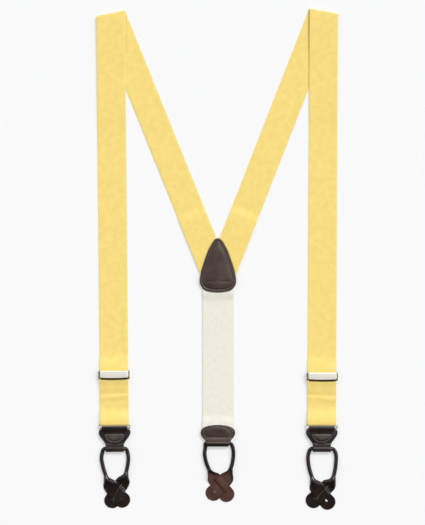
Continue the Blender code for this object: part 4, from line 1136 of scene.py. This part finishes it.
def make_loop(tag, loop, origin, place, curl, neck, body, nodes, slitted, eye):
    """Rolled leather from one disc over the tunnel to the other. The slitted arm's tongue lets the other through.
    curl is 1 where the roll closes upwards, as on the back loop, and -1 where it closes downwards."""
    arms = {}
    for hand in (-1, 1):
        line = evenly(curve_through(loop_route(loop, hand, neck), 8), 1.15 * MM)
        run = [0.0]
        for a, b in zip(line, line[1:]):
            run.append(run[-1] + (b - a).length)
        arms[hand] = (line, run, run[-1], arm_and_disc(loop, hand)[0].flat * MM)
    split_line, split_run = arms[slitted][:2]
    through_line, through_run, through_tip, through_flat = arms[-slitted]
    waist = Vector((*arm_and_disc(loop, slitted)[0].cross, 0)) * MM
    centre = min(range(len(split_line)), key=lambda i: (split_line[i] - waist).length)
    first = min(i for i in range(len(split_line)) if split_run[i] > split_run[centre] - SLIT_ABOVE)
    last = max(i for i in range(len(split_line)) if split_run[i] < split_run[centre] + SLIT_BELOW)
    cols = LOOP_COLUMNS
    half_cols = cols // 2
    base = len(arms[-1][0]) - 1

    def arm_at(hand, i, k, copy, slit_rows):
        line, run, tip, flat_from = arms[hand]
        left = tip - run[i]
        here = line[i]
        along = (line[min(i + 1, len(line) - 1)] - line[max(i - 1, 0)]).normalized()
        side = Vector((-along.y, along.x, 0)) * hand
        roll = rolled(left, flat_from)
        flare = 0.9 * MM * smooth(flat_from + 17 * MM, flat_from + 9 * MM, left) * smooth(20 * MM, 36 * MM, left)
        drawn = (1.2 if curl < 0 and hand > 0 else 0.0) * MM * smooth(16 * MM, 30 * MM, left)
        drawn *= smooth(46 * MM, 32 * MM, left)
        here = here + side * (flare - drawn)
        width = tongue_width(left, flat_from)
        bend = max(roll / CORD_RADIUS, 1e-3)
        lift = mix(0, TUNNEL_HEIGHT - CORD_RADIUS - LEATHER / 2, smooth(17 * MM, 12 * MM, run[i]))
        drop = (1 - math.cos(bend * width / 2)) / bend
        middle = FLOOR_MID + lift + (drop if curl < 0 else 0) + 0.02 * MM
        share = 2 * k / cols - 1
        share = math.copysign(abs(share) ** 0.86, share)
        reach = share * width / 2
        turn = bend * reach
        point = here + side * math.sin(turn) / bend + Vector((0, 0, middle + curl * (1 - math.cos(turn)) / bend))
        flat = 1 - smooth(flat_from - 1 * MM, flat_from + 9 * MM, left)
        if flat > 0:
            plan = Vector((point.x, point.y, 0))
            if hand == slitted:
                away, near = beside(through_line, plan)
                through_left = through_tip - through_run[near]
                beside_half = DISC_RADIUS - 0.6 * MM
                if through_left > DISC_RADIUS:
                    beside_half = max(tongue_width(through_left, through_flat) / 2, 8.3 * MM)
                raised = 1 - smooth(beside_half - 0.6 * MM, beside_half + 1.7 * MM, abs(away))
                if copy is not None:
                    over = float(copy) if hand > 0 else 1.0 - copy
                elif slit_rows[0] < i < slit_rows[1]:
                    over = 1.0 if (k - half_cols) * hand > 0 else 0.0
                else:
                    over = smooth(-2.5 * MM, 2.5 * MM, reach * hand)
                below = SLIT_RISE * MM * (1 - smooth(2 * MM, 11 * MM, abs(reach)))
                point.z += flat * over * raised * (below + SLIT_RISE * MM)
            else:
                away, _ = beside(split_line, plan)
                climb = (1 - smooth(2 * MM, 11 * MM, away)) * (1 - smooth(9.8 * MM, 17 * MM, -away))
                point.z += flat * SLIT_RISE * MM * climb
        out = side * math.sin(turn) - Vector((0, 0, curl)) * math.cos(turn)
        full = 0.62 if k in (0, cols) else (0.93 if k in (1, cols - 1) else 1.0)
        if left < 0.4 * MM:
            full = min(full, 0.7)
        out = out * LEATHER / 2 * full
        slit_edge = abs(reach) if slit_rows and slit_rows[0] <= i <= slit_rows[1] else 1.0
        distance = min(width / 2 - abs(reach), max(left, 0.0), slit_edge + 0.1 * MM)
        # Within this band of a front loop's slit the rim is set below 0, for the painted highlight along the slit's
        # edge.
        if curl < 0 and slit_edge < SLIT_HIGHLIGHT_BAND:
            distance = PAINTED_HIGHLIGHT_RIM
        return point + out, point - out, reach, run[i] * hand, distance

    rows = base + len(arms[1][0]) - 1

    def at(i, k, copy):
        hand, row = (-1, base - i) if i < base else (1, i - base)
        if i == base:
            hand, row = 1, 0
        return arm_at(hand, row, k, copy, (first, last) if hand == slitted else None)

    if slitted > 0:
        slit = Slit(base + first, base + last, half_cols)
    else:
        slit = Slit(base - last, base - first, half_cols)
    place = place @ Matrix.Translation(origin)
    made = sheet_solid(f"loop_leather_{tag}", rows, cols, at, [LOOP_GRAIN_AND_PAINTED_SHADE, FLESH], place, slit=slit, sharp=48)
    arm, disc = arm_and_disc(loop, -slitted)
    heading = (Vector((*arm.cross, 0)) * MM - disc).normalized()
    middle = disc + heading * 2.5 * MM
    outline = []
    for k in range(21):
        turn = math.tau * k / 21
        a, b = eye[0] * MM * math.cos(turn), eye[1] * MM * math.sin(turn)
        outline.append((middle.x + heading.x * a - heading.y * b, middle.y + heading.y * a + heading.x * b))
    cut_out(made, outline, -1 * MM, 6 * MM, place)
    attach(made, body)
    stand_for(made, "loop_leather", nodes)


# --- metal ----------------------------------------------------------------------------------------------------
def lever_section(x, edge):
    """Outline of a clamp lever across its width: barrel, face, lip and underside. edge is how far its end is."""
    nip = LEVER_CORNER - math.sqrt(max(0.0, LEVER_CORNER**2 - max(0.0, LEVER_CORNER - edge) ** 2))
    tail = LEVER_TAIL - LEVER_BOW * (1 - (x / LEVER_HALF) ** 2) + nip
    soft = mix(0.72, 1.0, smooth(0, 0.8 * MM, edge))
    start, shoulder = tail + LEVER_NOSE, BARREL - 0.40 * MM
    barrel = arc((0, 0), BARREL * soft, -140, 84, 20)
    top = [(mix(0.3 * MM, start, j / 16), (BARREL - 0.40 * MM * (j / 16) ** 2.1) * soft) for j in range(17)]
    fall = (0.12, 0.3, 0.5, 0.7, 0.88, 1.0)
    lip = [(tail + LEVER_NOSE * (1 - t), mix(shoulder, 0.12 * MM, t**1.3) * soft) for t in fall]
    under = [(tail + 1.0 * MM, -0.05 * MM), (mix(tail, 0, 0.5), 0.5 * MM * soft)]
    return [(x + 0.4 * MM, a, b) for a, b in [*barrel, *top, *lip, *under]]


def make_adjuster(tag, leg):
    """The adjuster's frame, its pin and its clamp lever."""
    place = leg_place(leg)
    centre = -leg.adjuster_drop
    on_pin = place @ Matrix.Translation((0, centre + PIN_UP, PIN_HEIGHT))
    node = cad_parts[f"adjuster_frame_{tag}"]
    mesh = node.data.copy()
    mesh.materials.clear()
    body = settle(f"adjuster_body_{tag}", mesh, [NICKEL], None, 35)
    change = body.modifiers.new("rounded_edges", "BEVEL")
    change.width = 0.22 * MM
    change.segments = 3
    change.limit_method = "ANGLE"
    change.angle_limit = math.radians(40)
    change.harden_normals = False
    ends = [-FRAME_HALF - 0.35 * MM, -FRAME_HALF - 0.25 * MM, FRAME_HALF + 0.25 * MM, FRAME_HALF + 0.35 * MM]
    pin = wire(f"adjuster_rivet_{tag}", [[(x, 0, 0) for x in ends]], PIN_RADIUS, [NICKEL], on_pin, fine=6, taper=True)
    count = 44
    sections = []
    for k in range(count + 1):
        edge = min(k, count - k) / count * 2 * LEVER_HALF
        sections.append(lever_section(mix(-LEVER_HALF, LEVER_HALF, k / count), edge))
    bm = bmesh.new()
    rings = [[bm.verts.new(p) for p in section] for section in sections]
    for one, two in zip(rings, rings[1:]):
        for i in range(len(one)):
            j = (i + 1) % len(one)
            bm.faces.new((one[i], two[i], two[j], one[j]))
    bm.faces.new(rings[0])
    bm.faces.new(list(reversed(rings[-1])))
    bmesh.ops.recalc_face_normals(bm, faces=bm.faces)
    mesh = bpy.data.meshes.new(f"clamp_lever_{tag}")
    bm.to_mesh(mesh)
    bm.free()
    lever = settle(f"clamp_lever_{tag}", mesh, [LEVER_FACE_PAINTED_REFLECTION, NICKEL, LEVER_LIP_PAINTED_SHADE], on_pin, 38)
    around = len(sections[0])
    # Faces turned up take the pale painted reflection, steeper faces the plain nickel, and the lip the near-black
    # painted shade.
    for face in lever.data.polygons[:count * around]:
        if around - 10 < face.index % around < around - 2:  # the lip
            face.material_index = 2
        elif face.normal.z < 0.6:
            face.material_index = 1
    for made, held_by, node_name in ((body, "adjuster", "frame"), (pin, "adjuster", "pin"), (lever, "lever", "lever")):
        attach(made, f"{held_by}_{tag}")
        stand_for(made, "nickel", f"adjuster_{node_name}_{tag}")


def make_ring(tag, leg):
    """The rectangular wire ring, with rounded corners."""
    ring = -leg.ring_drop
    x, low = RING_HALF - RING_CORNER, RING_BARS - RING_CORNER
    corners = [(x, -RING_CORNER, 90, 0), (x, -low, 0, -90), (-x, -low, -90, -180), (-x, -RING_CORNER, 180, 90)]
    line = []
    for a, b, start, end in corners:
        line += [(p, ring + q, RING_HEIGHT) for p, q in arc((a, b), RING_CORNER, start, end, 9)]
    made = wire(f"ring_wire_{tag}", [line], RING_WIRE, [NICKEL], leg_place(leg), closed=True, fine=7)
    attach(made, f"wire_ring_{tag}")
    stand_for(made, "nickel", f"ring_{tag}")


# --- the whole thing ------------------------------------------------------------------------------------------
make_yoke()
make_elastic()
make_back_tab()
make_loop("back", BACK_LOOP, Vector((YOKE_X, BACK_TUNNEL_Y, 0)), Matrix.Identity(4), 1, BACK_NECK,
          "back_button_loop", "back_loop", -1, EYES["back"])
for tag, leg in LEGS.items():
    make_back_strap(tag, leg)
    make_fold(tag, leg)
    make_front(tag, leg)
    make_ring(tag, leg)
    make_adjuster(tag, leg)
    make_hairpin(tag, leg)
    make_front_tab(tag, leg)
    tunnel = -leg.ring_drop - RING_BARS - TAB_DROP
    make_loop(tag, leg.loop, Vector((0, tunnel, 0)), leg_place(leg), -1, FRONT_NECK,
              f"button_loop_{tag}", f"loop_{tag}", 1, EYES[tag])
for name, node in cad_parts.items():
    kept = FELT if name == "yoke_filler" else COTTON if name.endswith("_core") else None
    if kept is not None:
        node.data.materials.clear()
        node.data.materials.append(kept)


# --- table, light and camera ----------------------------------------------------------------------------------
def make_table():
    """A plain white table, its top just under the object."""
    made, tree, shader = finish("white_table")
    place = add(tree, "ShaderNodeTexCoord").outputs["Object"]
    fine = add(tree, "ShaderNodeTexNoise", Vector=place, Scale=6.0, Detail=3.0).outputs[0]
    tree.links.new(blend_colour(tree, fine, (0.400, 0.402, 0.404, 1), (0.410, 0.411, 0.413, 1)), shader["Base Color"])
    shader["Emission Color"].default_value = (1.0, 1.0, 1.0, 1)
    shader["Emission Strength"].default_value = 0.50
    shader["Roughness"].default_value = 0.9
    shader["Specular IOR Level"].default_value = 0.1
    bm = bmesh.new()
    size = 3.0
    bm.faces.new([bm.verts.new((x, y, -0.00005)) for x, y in ((-size, -size), (size, -size), (size, size), (-size, size))])
    mesh = bpy.data.meshes.new("table")
    bm.to_mesh(mesh)
    bm.free()
    table = settle("table", mesh, [made], None)


def make_light():
    """Big soft lights high at the shoulder end and at both sides; the ceiling over the camera is dark."""
    world = bpy.data.worlds.new("studio")
    bpy.context.scene.world = world
    world.use_nodes = True
    tree = world.node_tree
    back = tree.nodes["Background"]
    direction = add(tree, "ShaderNodeTexCoord").outputs["Generated"]
    up = add(tree, "ShaderNodeSeparateXYZ", Vector=direction).outputs[2]
    ramp = add(tree, "ShaderNodeValToRGB", Fac=up)
    stops = ramp.color_ramp.elements
    stops[0].position, stops[0].color = 0.0, (0.30, 0.30, 0.30, 1)
    stops[1].position, stops[1].color = 1.0, (0.07, 0.07, 0.07, 1)
    for position, grey in ((0.30, 0.55), (0.80, 0.60), (0.93, 0.28), (0.98, 0.09)):
        made = stops.new(position)
        made.color = (grey, grey, grey * 1.005, 1)
    far = add(tree, "ShaderNodeSeparateXYZ", Vector=direction).outputs[1]
    shade = sums(tree, "MULTIPLY", spread(tree, far, -0.75, 0.15, 0.12, 1.0), 0.87)
    tree.links.new(ramp.outputs[0], back.inputs["Color"])
    tree.links.new(shade, back.inputs["Strength"])
    for name, where, angle, power in (
        ("key_softbox", (0.50, 0.78, 1.15), 20, 2.36),
        ("right_softbox", (1.0, 0.15, 0.9), 34, 0.55),
        ("left_softbox", (-1.0, 0.25, 1.0), 34, 0.44),
    ):
        lamp = bpy.data.lights.new(name, "SUN")
        lamp.angle = math.radians(angle)
        lamp.energy = power
        made = bpy.data.objects.new(name, lamp)
        bpy.context.scene.collection.objects.link(made)
        made.location = where
        made.rotation_euler = (-Vector(where)).to_track_quat("-Z", "Y").to_euler()


def make_camera():
    """Looking straight down from over the middle of the object."""
    lens = bpy.data.cameras.new("overhead")
    lens.sensor_fit = "VERTICAL"
    lens.sensor_height = 24
    lens.lens = 85
    lens.clip_start, lens.clip_end = 0.05, 20
    made = bpy.data.objects.new("overhead", lens)
    bpy.context.scene.collection.objects.link(made)
    made.location = (-5.77 * MM, -4.34 * MM, 2.268)
    bpy.context.scene.camera = made


make_table()
make_light()
make_camera()
bpy.context.scene.view_settings.view_transform = "Standard"
